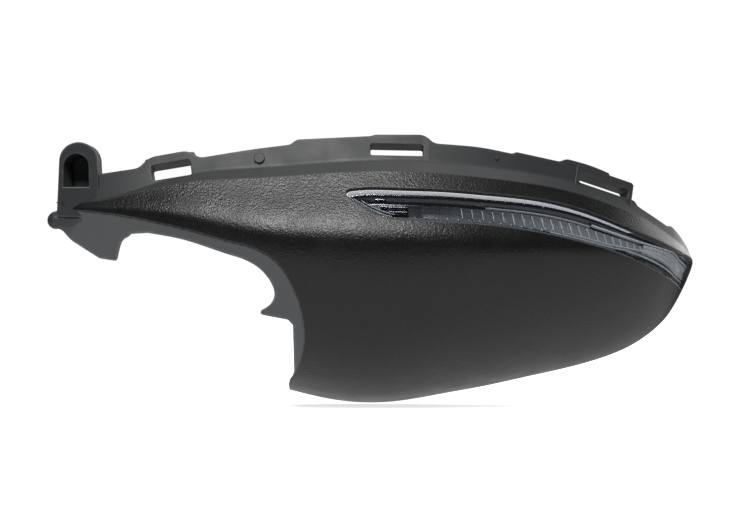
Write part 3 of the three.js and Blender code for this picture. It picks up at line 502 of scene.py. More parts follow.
def apply(matrix, points):
    return points @ matrix[:3, :3].T + matrix[:3, 3]


def basis(x, y, z, at):
    m = np.eye(4)
    m[:3, 0], m[:3, 1], m[:3, 2], m[:3, 3] = x, y, z, at
    return m


def box_outline(width, height, radius, x=0, y=0):
    w, h = width / 2, height / 2
    return rounded([(x + a * w, y + b * h, radius) for a, b in ((-1, -1), (1, -1), (1, 1), (-1, 1))])


def bands(rings, n, closed=False):
    """Faces between rings of n points, one ring after another, and from the last to the first if closed."""
    count = rings if closed else rings - 1
    return [[k * n + i, k * n + (i + 1) % n, (k + 1) % rings * n + (i + 1) % n, (k + 1) % rings * n + i]
            for k in range(count) for i in range(n)]


def caps(rings, n):
    """The end faces of a row of rings."""
    return [list(range(n - 1, -1, -1)), [(rings - 1) * n + k for k in range(n)]]


def lathe(profile, matrix, segments):
    """A turned piece: (radius, height) points spun round a frame's Z, with flat ends."""
    turn = full_turn(segments)
    rings = [apply(matrix, vec(r * np.cos(turn), r * np.sin(turn), 0 * turn + h)) for r, h in profile]
    return np.vstack(rings), bands(len(profile), segments) + caps(len(profile), segments)


def joined(parts):
    """Several (vertices, faces) pairs as one."""
    verts, faces, count = [], [], 0
    for v, f in parts:
        verts.append(v)
        faces += [[i + count for i in face] for face in f]
        count += len(v)
    return np.vstack(verts), faces


# ---- Materials ----

class Look:
    """A node material: its Principled shader, and short ways to add noise, ramps and bump to it."""

    def __init__(self, name, **sockets):
        self.material = bpy.data.materials.new(name)
        self.material.use_nodes = True
        self.tree = self.material.node_tree
        self.shader = self.tree.nodes["Principled BSDF"]
        for key, value in sockets.items():
            self.shader.inputs[key.replace("_", " ")].default_value = value

    def node(self, kind, inputs=(), **settings):
        n = self.tree.nodes.new(kind)
        for key, value in settings.items():
            setattr(n, key, value)
        for key, value in dict(inputs).items():
            self.put(n.inputs[key], value)
        return n

    def put(self, socket, value):
        """Links another node's output to a socket, or sets the socket's own value."""
        if isinstance(value, bpy.types.NodeSocket):
            self.tree.links.new(value, socket)
        else:
            socket.default_value = value

    def place(self):
        return self.node("ShaderNodeTexCoord").outputs["Object"]

    def noise(self, scale, detail=2.0, rough=0.5):
        return self.node("ShaderNodeTexNoise", {"Vector": self.place(), "Scale": scale, "Detail": detail,
                "Roughness": rough}).outputs["Fac"]

    def span(self, value, from_low, from_high, low, high):
        return self.node("ShaderNodeMapRange", {"Value": value, "From Min": from_low, "From Max": from_high,
                "To Min": low, "To Max": high}).outputs["Result"]

    def mix(self, share, a, b):
        n = self.node("ShaderNodeMix", {"Factor": share, 6: a, 7: b}, data_type="RGBA")
        return n.outputs[2]

    def math(self, operation, a, b):
        return self.node("ShaderNodeMath", {0: a, 1: b}, operation=operation).outputs[0]

    def bump(self, height, strength, distance):
        n = self.node("ShaderNodeBump", {"Height": height, "Strength": strength, "Distance": distance})
        self.tree.links.new(n.outputs["Normal"], self.shader.inputs["Normal"])

    def use(self, socket, value):
        self.tree.links.new(value, self.shader.inputs[socket])


def grey(level, tint=(1, 1, 1)):
    return (level * tint[0], level * tint[1], level * tint[2], 1)


def plastic(name, dark, light, rough, grain=0.0, grain_scale=1500, tint=(1, 1, 1), worn_and_highlit=0.0):
    """Moulded plastic: cloudy colour and roughness, a moulded grain with pale specks painted in as its glints,
    and edges painted paler as rubbed wear and a painted edge highlight.
    """
    look = Look(name)
    cloud = look.noise(35, 4)
    fine = look.noise(grain_scale, 1.5, 0.6)
    colour = look.mix(look.span(cloud, 0.3, 0.7, 0, 1), grey(dark, tint), grey(light, tint))
    if grain:
        # Pale specks mixed into the grain's colour: painted glints of the grain's facets.
        painted_glints = look.span(fine, 0.52, 0.72, 0, 1)
        colour = look.mix(look.math("MULTIPLY", painted_glints, 0.5), colour, grey(light * 2.6, tint))
    # Edges painted paler by the edge mask and a noise: rubbed wear and a painted edge highlight.
    if worn_and_highlit:
        wear_and_highlight = look.node("ShaderNodeAttribute", attribute_name="wear_and_highlight").outputs["Fac"]
        wear_and_highlight = look.math("MULTIPLY", wear_and_highlight, look.span(look.noise(260, 3), 0.4, 0.65, 0.15, worn_and_highlit))
        colour = look.mix(wear_and_highlight, colour, grey(light * 3.2, tint))
    look.use("Base Color", colour)
    look.use("Roughness", look.span(look.noise(90, 3), 0.3, 0.7, rough - 0.05, rough + 0.05))
    height = look.math("ADD", look.math("MULTIPLY", fine, max(grain, 0.05)),
            look.math("MULTIPLY", look.noise(160, 3), 0.25))
    look.bump(height, 0.75 if grain else 0.12, 0.0002 if grain else 0.00012)
    return look.material


METAL_SCALE, METAL_VARIATION = 400, 0.06


def metal(name, colour, rough):
    """Bright or metallised surface, with cloudy colour and uneven polish."""
    look = Look(name, Metallic=1.0)
    look.use("Base Color", look.mix(look.noise(METAL_SCALE, 3), grey(colour[0] * 0.8), colour))
    look.use("Roughness", look.span(look.noise(METAL_SCALE / 3, 3), 0.3, 0.7,
            rough - METAL_VARIATION, rough + METAL_VARIATION))
    look.bump(look.noise(METAL_SCALE * 2, 2), 0.08, 0.00005)
    return look.material


HEAD_ON_GLOSS, GRAZING_GLOSS = 0.03, 0.5


def clear(name, tint, rough, body, ramp=None):
    """Clear plastic: mostly see-through, with a gloss that grows towards grazing. body is the share that
    isn't see-through: one value, or two that ramp between two X positions in metres."""
    look = Look(name, Roughness=rough, IOR=1.49)
    look.use("Base Color", look.mix(look.noise(220, 2), tint, tuple(c * 0.93 for c in tint[:3]) + (1,)))
    look.bump(look.noise(120, 2), 0.04, 0.0001)
    through = look.node("ShaderNodeBsdfTransparent", {"Color": (0.97, 0.98, 0.99, 1)})
    facing = look.node("ShaderNodeLayerWeight", {"Blend": 0.5}).outputs["Facing"]
    gloss = look.math("MULTIPLY", look.math("POWER", facing, 4.0), GRAZING_GLOSS)
    if ramp:
        along = look.node("ShaderNodeSeparateXYZ", {"Vector": look.place()}).outputs["X"]
        body = look.span(along, *ramp, *body)
    share = look.math("MINIMUM", look.math("ADD", look.math("ADD", gloss, HEAD_ON_GLOSS), body), 1.0)
    mixer = look.node("ShaderNodeMixShader", {"Fac": share})
    look.tree.links.new(through.outputs[0], mixer.inputs[1])
    look.tree.links.new(look.shader.outputs[0], mixer.inputs[2])
    look.tree.links.new(mixer.outputs[0], look.tree.nodes["Material Output"].inputs["Surface"])
    return look.material


BLUISH = (0.95, 0.99, 1.05)
# Plastics: darker and lighter grey, roughness. Clear ones: colour, roughness, body.
SKIN = plastic("cover_grained", 0.006, 0.009, 0.34, grain=1.0, grain_scale=1250, tint=BLUISH, worn_and_highlit=0.4)
SMOOTH = plastic("cover_smooth", 0.042, 0.05, 0.45, tint=BLUISH, worn_and_highlit=0.5)
INSIDE = plastic("cover_inside", 0.02, 0.026, 0.5, tint=BLUISH)
# The foot collar's plastic: the smooth plastic painted paler, standing in for the light bounced up from the
# floor.
COLLAR_PAINTED_BOUNCE = plastic("cover_collar_painted_bounce", 0.11, 0.122, 0.42, tint=BLUISH, worn_and_highlit=0.5)
COVER = [SKIN, SMOOTH, INSIDE]
CLEAR = clear("lens_clear", (0.05, 0.055, 0.06, 1), 0.06, 0.02)
CLEAR_EDGE = clear("lens_edge", (0.5, 0.53, 0.56, 1), 0.12, 0.3)
# The guide's solid share ramps up along X, so its outboard part turns paler: painted light where that end of
# the lamp catches the light.
GUIDE = clear("guide_clear", (0.56, 0.59, 0.62, 1), 0.12, (0.03, 0.5), ramp=(0.0, 0.085))
OPTIC = clear("optic_clear", (0.85, 0.87, 0.88, 1), 0.15, 0.65)
CHROME = metal("bezel_dark_chrome", (0.1, 0.105, 0.12, 1), 0.2)
DARK_CHROME = metal("fin_chrome", (0.3, 0.31, 0.34, 1), 0.25)
# A pale, mostly solid copy of the clear guide plastic for the cell lines, spots and edge strips: real
# features, painted pale as their highlights.
PALE_GLINT = clear("guide_pale_glints", (0.85, 0.88, 0.9, 1), 0.15, 0.75)
SILVER = metal("reflector_silver", (0.7, 0.72, 0.74, 1), 0.3)
STEEL = metal("screw_steel", (0.42, 0.43, 0.45, 1), 0.33)
TIN = metal("pin_tinned", (0.62, 0.48, 0.22, 1), 0.3)
HOUSING = plastic("housing_black", 0.012, 0.02, 0.5, grain=0.3, grain_scale=900)
RUBBER = plastic("gasket_rubber", 0.01, 0.016, 0.75, grain=0.4, grain_scale=1200)
BOARD = plastic("board_green", 0.03, 0.06, 0.42, tint=(0.35, 1.4, 0.6))
CHIP = plastic("chip_black", 0.012, 0.018, 0.5, grain=0.3, grain_scale=2200)
RESISTOR = plastic("resistor_dark", 0.02, 0.04, 0.35)
LED = plastic("led_pale", 0.6, 0.7, 0.3, tint=(1, 0.93, 0.62))
FLEX = plastic("ribbon_amber", 0.2, 0.28, 0.4, tint=(1.2, 0.7, 0.25))
MEMBRANE = plastic("vent_white", 0.62, 0.7, 0.8)

# ---- Camera ----

VIEW_DISTANCE = 900
VIEW_WIDTH = 296  # millimetres across the picture at the cover's front
SENSOR = 36
camera = bpy.data.objects.new("camera", bpy.data.cameras.new("camera"))
camera.data.sensor_width = SENSOR
camera.data.lens = SENSOR * VIEW_DISTANCE / VIEW_WIDTH
camera.data.clip_start, camera.data.clip_end = 0.01, 50
camera.location = placed((0, -VIEW_DISTANCE, 0))
camera.rotation_euler = (math.pi / 2, 0, 0)
bpy.context.scene.collection.objects.link(camera)
bpy.context.scene.camera = camera


# ---- Cover ----

def flange_line(s):
    """Foot and top of the flange, before its top edge is trimmed."""
    inward, _, split, _, _ = station(s)
    setback = (SHOULDER_SETBACK * shoulder_fade(s))[..., None]
    foot = split + inward * setback + UP * shoulder_rise(s)[..., None]
    return foot, foot + (inward * FLANGE_LEAN + UP) * FLANGE_STOCK


def flange_frame(x, z, tilt=0.0):
    """A frame on the flange at a front-view point: X along it, Y up it, Z out of it."""
    s = (x - NOSE_X) / STATION_LENGTH
    for _ in range(20):
        foot, top = flange_line(min(s, FLANGE_END - 1e-3))
        t = (z - foot[2]) / (top[2] - foot[2])
        s += (x - (foot[0] + (top[0] - foot[0]) * t)) / STATION_LENGTH

    def at(q):
        foot, top = flange_line(q)
        return foot + (top - foot) * (z - foot[2]) / (top[2] - foot[2])

    along = unit(at(s + 0.01) - at(s - 0.01))
    foot, top = flange_line(s)
    out = unit(np.cross(along, unit(top - foot)))
    if tilt:
        turn = Matrix.Rotation(tilt - math.asin(along[2]), 3, Vector(out))
        along = np.array(turn @ Vector(along))
    return basis(along, np.cross(out, along), out, at(s))


# The latch tabs, by their windows: middle, size, tilt in the front view, and the block's length.
TABS = [
    dict(x=-81.2, z=36.4, width=16, height=6.4, tilt=0.17, block=21),
    dict(x=11, z=44.6, width=21.5, height=4.7, tilt=-0.02, block=27),
    dict(x=97.2, z=30.4, width=23, height=4.2, tilt=-0.3, block=27),
]


def cover_grid(s):
    """Outer surface from the flange's top to the lip; also each row's v, negative above the split line."""
    foot, top = flange_line(s)
    _, _, split, _, _ = station(s)
    near = skin(s, 0 * s + 0.02)
    length = np.linalg.norm(split - foot, axis=-1, keepdims=True)
    reach = np.minimum(0.9, 0.3 * length)
    flange_rows = [top + (foot - top) * t for t in np.linspace(0, 1 - 1.2 / FLANGE_STOCK, 30)]
    foot_rows = fillet(top, foot, split, reach, 5)
    split_rows = fillet(foot, split, near, np.minimum(0.35, reach), 4)
    a, b = foot_rows[-1], split_rows[0]
    shoulder_rows = [a + (b - a) * t for t in (0.2, 0.4, 0.6, 0.8)]
    upper = np.linspace(0.025, RIDGE_V, 29)
    lower = np.linspace(RIDGE_V, 1, 76)[1:]
    skin_v = np.concatenate([upper, lower])
    rows = flange_rows + foot_rows + shoulder_rows + split_rows[:-1]
    smooth_rows = len(rows)
    rows += [split_rows[-1]] + [skin(s, 0 * s + v) for v in skin_v]
    v = np.concatenate([np.full(smooth_rows, -1.0), [0.01], skin_v])
    height = np.concatenate([np.linspace(FLANGE_STOCK, 1.2, 30), np.zeros(len(rows) - 30)])
    return np.array(rows), v, height, smooth_rows


def grid_normals(points):
    return unit(np.cross(np.gradient(points, axis=0), np.gradient(points, axis=1)))


LINE = np.linspace(LAMP_START - 0.03, 0.999, 320)
TOP_LINE = across_at(LINE, lens_top)
BOTTOM_LINE = across_at(LINE, lens_bottom)


def lens_field(s, v):
    """Millimetres inside the lens outline on the skin."""
    top, bottom = np.interp(s, LINE, TOP_LINE), np.interp(s, LINE, BOTTOM_LINE)
    middle = np.clip(v, 0.01, 0.99)
    speed = skin_speed(s, middle)
    along = np.linalg.norm(skin(s + 1e-3, middle) - skin(s - 1e-3, middle), axis=-1) / 2e-3
    return smooth_min([(v - top) * speed, (bottom - v) * speed,
            (s - LAMP_START) * along, (LAMP_END - s) * along], LENS_CORNER)


def smooth_min(fields, radius):
    """The least of several distances, with the corners between them rounded."""
    out = fields[0]
    for f in fields[1:]:
        h = np.clip(0.5 + 0.5 * (f - out) / radius, 0, 1)
        out = f * (1 - h) + out * h - radius * h * (1 - h)
    return out


def arch_outline(x, half, top_round, top, floor):
    """A doorway shape in front view: its centre line x, half width, top radius, top and floor heights."""
    turn = np.linspace(0, math.pi, 30)
    arc = np.stack([x + top_round * np.cos(turn), top - top_round + top_round * np.sin(turn)], -1)
    return np.vstack([[(x - half, floor), (x + half, floor)], arc])


SOCKET_FRONT, SOCKET_BACK = 20.8, 36
SOCKET_BLOCK = arch_outline(-119.4, 8.9, 7.9, 47.9, 17.2)
SOCKET_HOLE = arch_outline(-120.3, 5.2, 5, 43.1, 29.6)
SOCKET_CLEARANCE = arch_outline(-120.3, 6.2, 6, 44.1, 28.6)  # where the flange is cut away round the hole
SOCKET_FLOOR = arch_outline(-119.4, 8.2, 7.2, 47.2, 25.2)
FLOOR_THICK = 2
LINER_MOUTH = arch_outline(-120.3, 5.3, 5.1, 43.2, 29.5)
LINER_THROAT = arch_outline(-119.3, 3.7, 3.6, 42.2, 29.9)
ARM_CUT = 1.3  # how far short of the arm's end the shell stops, inside the socket's block
FAR_INSIDE = 50
TAB_REACH = 9  # a tab's window cuts the flange only this near the tab's own plane


def build_cover():
    s = np.concatenate([np.linspace(ARM_END, 0, 150)[:-1], np.linspace(0, 1, 230)])
    outer, v, height, smooth_rows = cover_grid(s)
    inner = outer - grid_normals(outer) * WALL
    x, z = outer[..., 0], outer[..., 2]
    fields = [
        -inside_distance(x, z, rounded(RIM_OUTLINE)),
        -inside_distance(x, z, NOTCH_REGION),
        np.maximum((FLANGE_END - s)[None] * STATION_LENGTH, 0.9 - height[:, None] + 0 * x),
        (s - ARM_END)[None] * STATION_LENGTH - ARM_CUT + 0 * x,
        -inside_distance(x, z, SOCKET_CLEARANCE),
    ]
    for spec in TABS:
        m = flange_frame(spec["x"], spec["z"], spec["tilt"])
        local = (outer - m[:3, 3]) @ m[:3, :3]
        window = box_outline(spec["width"] + 0.3, spec["height"] + 0.3, 0.8)
        near = np.abs(local[..., 2]) < TAB_REACH
        fields.append(np.where(near, -inside_distance(local[..., 0], local[..., 1], window), FAR_INSIDE))
    skin_rows = np.broadcast_to(v[:, None], x.shape)
    slit = lens_field(np.broadcast_to(s[None], x.shape), skin_rows)
    fields.append(np.where(skin_rows > 0, -slit - LENS_GAP, FAR_INSIDE))
    field = np.minimum.reduce(fields)
    kind = np.zeros((field.shape[0] - 1, field.shape[1] - 1), int)
    kind[:smooth_rows] = 1
    add_shell("cover_moulding", shell(outer, inner, field, kind=kind), COVER, "cover", node="lower_cover")


def build_collar():
    """The flat band round the foot notch, from under the skin's edge back to the fin, arch and hook."""
    step, lap = 0.8, 1.2
    x, z = grid(np.arange(-136, -22, step), np.arange(-58, 26, step))
    y = collar_depth(x, z)
    tangent = unit(np.gradient(NOTCH_LINE, axis=0))
    front = NOTCH_LINE + np.stack([-tangent[:, 1], tangent[:, 0]], -1) * lap
    rear = np.vstack([rounded(FIN_EDGE)[:-1], smooth_line(ARCH_EDGE, 60), np.array(HOOK_EDGE)])
    field = inside_distance(x, z, np.vstack([front[::-1], rear]))
    kind = np.ones((x.shape[0] - 1, x.shape[1] - 1), int)
    made = shell(vec(x, y, z), vec(x, y + COLLAR_DEPTH, z), field, radius=0.4, kind=kind)
    # The collar takes the paler copy of the smooth plastic, with the floor's bounce light painted in.
    add_shell("foot_collar", made, [COLLAR_PAINTED_BOUNCE, COLLAR_PAINTED_BOUNCE, INSIDE], "cover")


def build_tabs():
    """The latch tabs: thick blocks behind the flange, each with its window."""
    frame_height = 7.2
    for i, spec in enumerate(TABS):
        m = flange_frame(spec["x"], spec["z"], spec["tilt"])
        m[:3, 3] -= m[:3, 2] * 0.2
        block = box_outline(spec["block"], spec["height"] + frame_height, 1.2, 0, -0.3)
        window = box_outline(spec["width"], spec["height"], 0.6)
        made = flat_shell(block, window, m, TAB_THICK - 0.4, step=0.7, radius=0.25)
        add_shell(f"latch_tab_{i + 1}", made, [SMOOTH] * 3, "cover")


def build_socket():
    """The arched socket at the arm's end: its block, the floor of its hole and the hole's tapered liner."""
    front = basis((1, 0, 0), (0, 0, 1), (0, -1, 0), (0, SOCKET_FRONT, 0))
    back = basis((1, 0, 0), (0, 0, 1), (0, -1, 0), (0, SOCKET_BACK - 2.2, 0))
    block = flat_shell(SOCKET_BLOCK, SOCKET_HOLE, front, SOCKET_BACK - SOCKET_FRONT, step=0.35, radius=0.55)
    floor = flat_shell(SOCKET_FLOOR, None, back, FLOOR_THICK, step=0.8, radius=0.4)
    add_shell("socket_arch", block, [SMOOTH] * 3, "cover")
    add_shell("socket_floor", floor, [SMOOTH] * 3, "cover")
    near, far = SOCKET_FRONT + 0.45, SOCKET_BACK - 3

    def ring(outline, y):
        return vec(outline[:, 0], y, outline[:, 1])

    rings = [ring(LINER_MOUTH + (LINER_THROAT - LINER_MOUTH) * q, near + (far - near) * q)
            for q in np.linspace(0, 1, 8)]
    rings += [ring(LINER_MOUTH, y) for y in (far, near + 0.1)]
    faces = bands(len(rings), len(LINER_MOUTH), closed=True)
    add_piece("socket_liner", np.vstack(rings), faces, [SMOOTH], "cover")


BEAD_PATH = np.array([(-129.0, 24.8, 15.9), (-126.5, 25.0, 16.2), (-122.5, 25.0, 16.8), (-117, 23.8, 17.2),
        (-110, 21.0, 17.0), (-103, 19.6, 16.2)])
BEAD_RADII = np.array([3.6, 3.5, 3.2, 2.7, 2.0, 1.0])


def build_knob():
    """The rolled bead at the arm's end, which tapers into the skin along the notch's edge."""
    t = np.linspace(0, 1, 48)
    key = np.linspace(0, 1, len(BEAD_PATH))
    line = np.stack([spline(list(zip(key, BEAD_PATH[:, k])))(t) for k in range(3)], -1)
    width = spline(list(zip(key, BEAD_RADII)))(t)
    along = unit(np.gradient(line, axis=0))
    side = unit(np.cross(along, UP))
    top = np.cross(side, along)
    turn = full_turn(28)
    dome = np.linspace(0, math.pi / 2, 9)[:-1]
    rings = [line[0] - along[0] * width[0] * math.cos(a) + width[0] * math.sin(a)
            * (np.cos(turn)[:, None] * side[0] + np.sin(turn)[:, None] * top[0]) for a in dome]
    rings += [p + w * (np.cos(turn)[:, None] * a + np.sin(turn)[:, None] * b)
            for p, w, a, b in zip(line, width, side, top)]
    verts, n = np.vstack(rings), len(turn)
    faces = bands(len(rings), n) + caps(len(rings), n)[1:]
    # The whole bead takes a little of the edge paling: a painted highlight on its roll, with light wear.
    add_piece("arm_bead", verts, faces, [SMOOTH], "cover", wear_and_highlight=np.full(len(verts), 0.2))


HOLE_DEPTH = 12


def stub(outline, back, hole=None):
    """A pillar on the inside of the skin, with a rounded end at depth back and perhaps a blind hole."""
    middle = outline.mean(0)

    def ring(shrink, y):
        flat = outline - unit(outline - middle) * shrink
        return vec(flat[:, 0], y, flat[:, 1])

    foot = skin_depth(outline[:, 0], outline[:, 1]) + WALL / 2
    rows = [ring(0, foot), ring(0, back - 0.5), ring(0.15, back - 0.15), ring(0.5, back)]
    if hole:
        reach = np.linalg.norm(outline - middle, axis=-1, keepdims=True)
        rows += [ring(reach - hole - 0.3, back), ring(reach - hole, back - 0.3),
                ring(reach - hole, back - HOLE_DEPTH)]
    faces = bands(len(rows), len(outline)) + caps(len(rows), len(outline))
    return np.vstack(rows), [face[::-1] for face in faces]


def circle(x, z, radius):
    turn = full_turn(36)
    return np.stack([x + radius * np.cos(turn), z + radius * np.sin(turn)], -1)


def inside_plate(points, half, field):
    """A thin plate on the inside of the skin: points(side) gives its grid on each side."""
    return shell(points(-half), points(half), field, 0.3)[:2]


CARRIER_BOSSES = [(-12, -34), (66, -27), (-62, 22)]
BOSS_RADIUS, BOSS_HOLE, BOSS_WEB_HALF = 4.6, 1.8, 0.9
WEB_BELOW, WEB_ABOVE, WEB_SHORT = 13, 7, 4
RIB_STATIONS = [-0.13, 0.02, 0.24, 0.46, 0.62]
RIB_HALF, RIB_HEIGHT = 0.8, 7
RIB_ENDS = (0.6, 0.985)
LAMP_FIXINGS = [(-0.045, 6), (0.3, 6), (0.58, 5.6)]  # station, millimetres outside the lens's lower edge
FIXING_PROFILE = [(1.25, -4.4), (1.25, -8.5), (1.6, -8.85), (2.5, -8.85), (2.8, -8.5), (2.8, -3.4)]
PEGS = [(-45.2, 41, 2.2, 1), (52, 41.2, 0.9, 0.7)]  # x, z, radius, height on the flange
TURNED_SEGMENTS = 28


def build_inside():
    """What stands on the cover's inside: pad, carrier bosses with webs, ribs, lamp bosses; and two pegs."""
    parts = [stub(box_outline(PAD[2], PAD[3], 1, PAD[0], PAD[1]), SEAT_Y)]
    for x, z in CARRIER_BOSSES:
        parts.append(stub(circle(x, z, BOSS_RADIUS), SEAT_Y, hole=BOSS_HOLE))
        high, share = grid(np.linspace(z - WEB_BELOW - 0.5, z + WEB_ABOVE + 0.5, 30),
                np.linspace(-0.05, 1.05, 30))
        foot = skin_depth(high[:, :1] * 0 + x, high[:, :1]) + WALL / 2
        back = SEAT_Y - WEB_SHORT
        y = foot + (back - foot) * share
        field = np.minimum.reduce([high - (z - WEB_BELOW), z + WEB_ABOVE - high, back - y, y - foot + 0.3])
        parts.append(inside_plate(lambda side: vec(x + side, y, high), BOSS_WEB_HALF, field))
    add_piece("carrier_bosses", *joined(parts), [INSIDE], "cover")
    parts = []
    for s in RIB_STATIONS:
        v, depth = grid(np.linspace(RIB_ENDS[0] - 0.01, RIB_ENDS[1] + 0.01, 90),
                np.linspace(0.6, RIB_HEIGHT + 0.4, 14))
        speed = skin_speed(s + 0 * v, v)
        field = np.minimum.reduce([RIB_HEIGHT - depth, depth - 1,
                (v - RIB_ENDS[0]) * speed, (RIB_ENDS[1] - v) * speed])
        parts.append(inside_plate(lambda side: below(s + side / STATION_LENGTH + 0 * v, v, depth),
                RIB_HALF, field))
    add_piece("inside_ribs", *joined(parts), [INSIDE], "cover")
    parts = []
    for s, outside in LAMP_FIXINGS:
        at = skin(s, across_at(s, lens_bottom, outside))
        parts.append(lathe(FIXING_PROFILE, lamp_frame(s, at, 1), TURNED_SEGMENTS))
    add_piece("lamp_bosses", *joined(parts), [INSIDE], "cover")
    parts = [
        lathe([(r, -1), (r, h - 0.3), (r - 0.1, h - 0.1), (r - 0.3, h)], flange_frame(x, z), TURNED_SEGMENTS)
        for x, z, r, h in PEGS]
    add_piece("flange_pegs", *joined(parts), [SMOOTH], "cover")


build_cover()
build_collar()
build_tabs()
build_socket()
build_knob()

# ---- Lamp ----

ARC_LINE = skin(LINE[:, None], TOP_LINE[:, None] + (BOTTOM_LINE - TOP_LINE)[:, None] * np.linspace(0, 1, 9))
HEIGHT_LINE = np.linalg.norm(np.diff(ARC_LINE, axis=1), axis=-1).sum(-1)


def lamp_axis(s):
    """Out of the lamp at a station: the skin's normal, evened out along the lamp."""
    s = np.clip(s, LAMP_START, LAMP_END)
    total = 0
    for q in (-0.1, -0.05, 0, 0.05, 0.1):
        near = np.clip(np.clip(s + q, 2 * s - LAMP_END, 2 * s - LAMP_START), LAMP_START, LAMP_END)
        total = total + skin_normal(near, np.interp(near, LINE, (TOP_LINE + BOTTOM_LINE) / 2))
    return unit(total)


def lamp_frame(s, at, hand):
    """A frame at a point of the lamp with Z out of it; hand is the sense of its X."""
    out = lamp_axis(np.array(s))
    side = unit(np.cross(UP, out)) * hand
    return basis(side, np.cross(out, side), out, at)


def lamp_v(s, down):
    top, bottom = np.interp(s, LINE, TOP_LINE), np.interp(s, LINE, BOTTOM_LINE)
    return top + (bottom - top) * down / np.interp(s, LINE, HEIGHT_LINE)


def lamp_points(s, down, depth):
    """Points in the lamp: station, millimetres below the lens's top edge, depth under the skin."""
    return skin(s, lamp_v(s, down)) - lamp_axis(s) * np.asarray(depth, float)[..., None]


def tall(s):
    """The lens's height at a station."""
    return np.interp(s, LINE, HEIGHT_LINE)


def from_top(mm):
    return lambda s: 0 * s + mm


def from_bottom(mm):
    return lambda s: tall(s) - mm


def level(depth):
    return lambda s, down: depth + 0 * down


def lamp_plate(ends, top, bottom, depth, thick, along=1.0, across=0.1, radius=0.08, field_of=None):
    """A plate in the lamp between two stations and two lines across the lens, as shell gives it.
    along and across are its grid steps, and field_of trims it further."""
    s0, s1 = ends
    pad = 1.5 * along / STATION_LENGTH
    s = np.linspace(s0 - pad, s1 + pad, int((s1 - s0) * STATION_LENGTH / along) + 5)
    upper, lower = top(s), bottom(s)
    share = np.linspace(0, 1, int(np.max(lower - upper) / across) + 5)
    down = (upper - 1.5 * across)[:, None] + (lower - upper + 3 * across)[:, None] * share
    s = np.broadcast_to(s[:, None], down.shape)
    field = np.minimum.reduce([down - upper[:, None], lower[:, None] - down, (s - s0) * STATION_LENGTH,
            (s1 - s) * STATION_LENGTH])
    if field_of:
        field = np.minimum(field, field_of(s, down))
    front = lamp_points(s, down, depth(s, down))
    back = lamp_points(s, down, depth(s, down) + thick)
    return shell(front, back, field, radius)


def inside_lens(s, down):
    return lens_field(s, lamp_v(s, down))


def smooth_step(x):
    x = np.clip(x, 0, 1)
    return x * x * (3 - 2 * x)


def cells_at(s, start, pitch):
    """Distance in millimetres to the nearest cell boundary of an evenly pitched row."""
    x = (s - start) * STATION_LENGTH / pitch
    return np.abs(x - np.round(x)) * pitch


LENS_ENDS = (LAMP_START, LAMP_END)
LENS_MARGIN = 0.6
LEG_FROM, LEG_DEEP, LEG_OUTSIDE, LEG_INSIDE = 1.6, 4.7, 0.1, 0.95
BEZEL_INSET, BEZEL_DEPTH, BEZEL_BOWL, BEZEL_THICK = 1.15, 2.4, 2.2, 0.8
WINDOW_TOP, WINDOW_BOTTOM = 4.6, 2.4  # the bezel's window, below the lens's top edge and above its bottom
FINS = [(-0.04, -0.018, 2.9, 0.65), (-0.03, 0.03, 6.2, 0.4), (-0.012, 0.03, 8.4, 0.4)]  # ends, top, height
GUIDE_START, GUIDE_PITCH = 0.03, 4.6
GUIDE_TOP, GUIDE_BOTTOM, GUIDE_DEPTH, GUIDE_THICK = 5, 2.9, 3.3, 2.6
FIRST_LINE = 0.13
LINE_HALF = 0.16 / STATION_LENGTH
SPOT_DEPTH, SPOT_SIZE, LAST_SPOT_SIZE, SPOT_SEGMENTS = 1.75, 0.34, 0.62, 14
TOP_SPOTS, BOTTOM_SPOTS = (0.05, 0.345), (0.04, 0.36)  # stations between which the spots stand
TOP_SPOT_DOWN, BOTTOM_SPOT_UP = 1.3, 1.95
OPTIC_START, OPTIC_END, OPTIC_PITCH = 0.62, 0.926, 3.2
OPTIC_DEPTH, OPTIC_THICK, OPTIC_RIB, OPTIC_GROOVE, RIBS_END = 2.0, 2.2, 0.8, 0.7, 0.82
TOP_STRIPS = [((0.46, 0.94), 3.7, 0.75, 1.7), ((0.2, 0.46), 4.3, 0.3, 2.6)]  # ends, down, height, depth
BOTTOM_STRIPS = [((0.34, 0.94), 2.05, 0.4), ((0.38, 0.94), 3.6, 0.35), ((-0.086, -0.004), 1.9, 0.4),
        ((-0.07, 0.002), 3.3, 0.3)]  # ends, up, height
STRIP_DEPTH = 1.6


def build_lens():
    """The clear lens and the wall that stands behind its edge."""
    add_shell("lens_cover", lamp_plate(
        LENS_ENDS, from_top(-LENS_MARGIN), from_bottom(-LENS_MARGIN), level(0), LENS_THICK,
        along=1.0, across=0.6, radius=0.2, field_of=inside_lens), [CLEAR] * 3, "lens", node="lamp_lens")

    def leg(s, down):
        inside = inside_lens(s, down)
        return np.minimum(inside - LEG_OUTSIDE, LEG_INSIDE - inside)

    add_shell("lens_walls", lamp_plate(
        LENS_ENDS, from_top(-LENS_MARGIN), from_bottom(-LENS_MARGIN), level(LEG_FROM), LEG_DEEP,
        along=0.7, across=0.35, radius=0.12, field_of=leg), [CLEAR_EDGE] * 3, "lens")


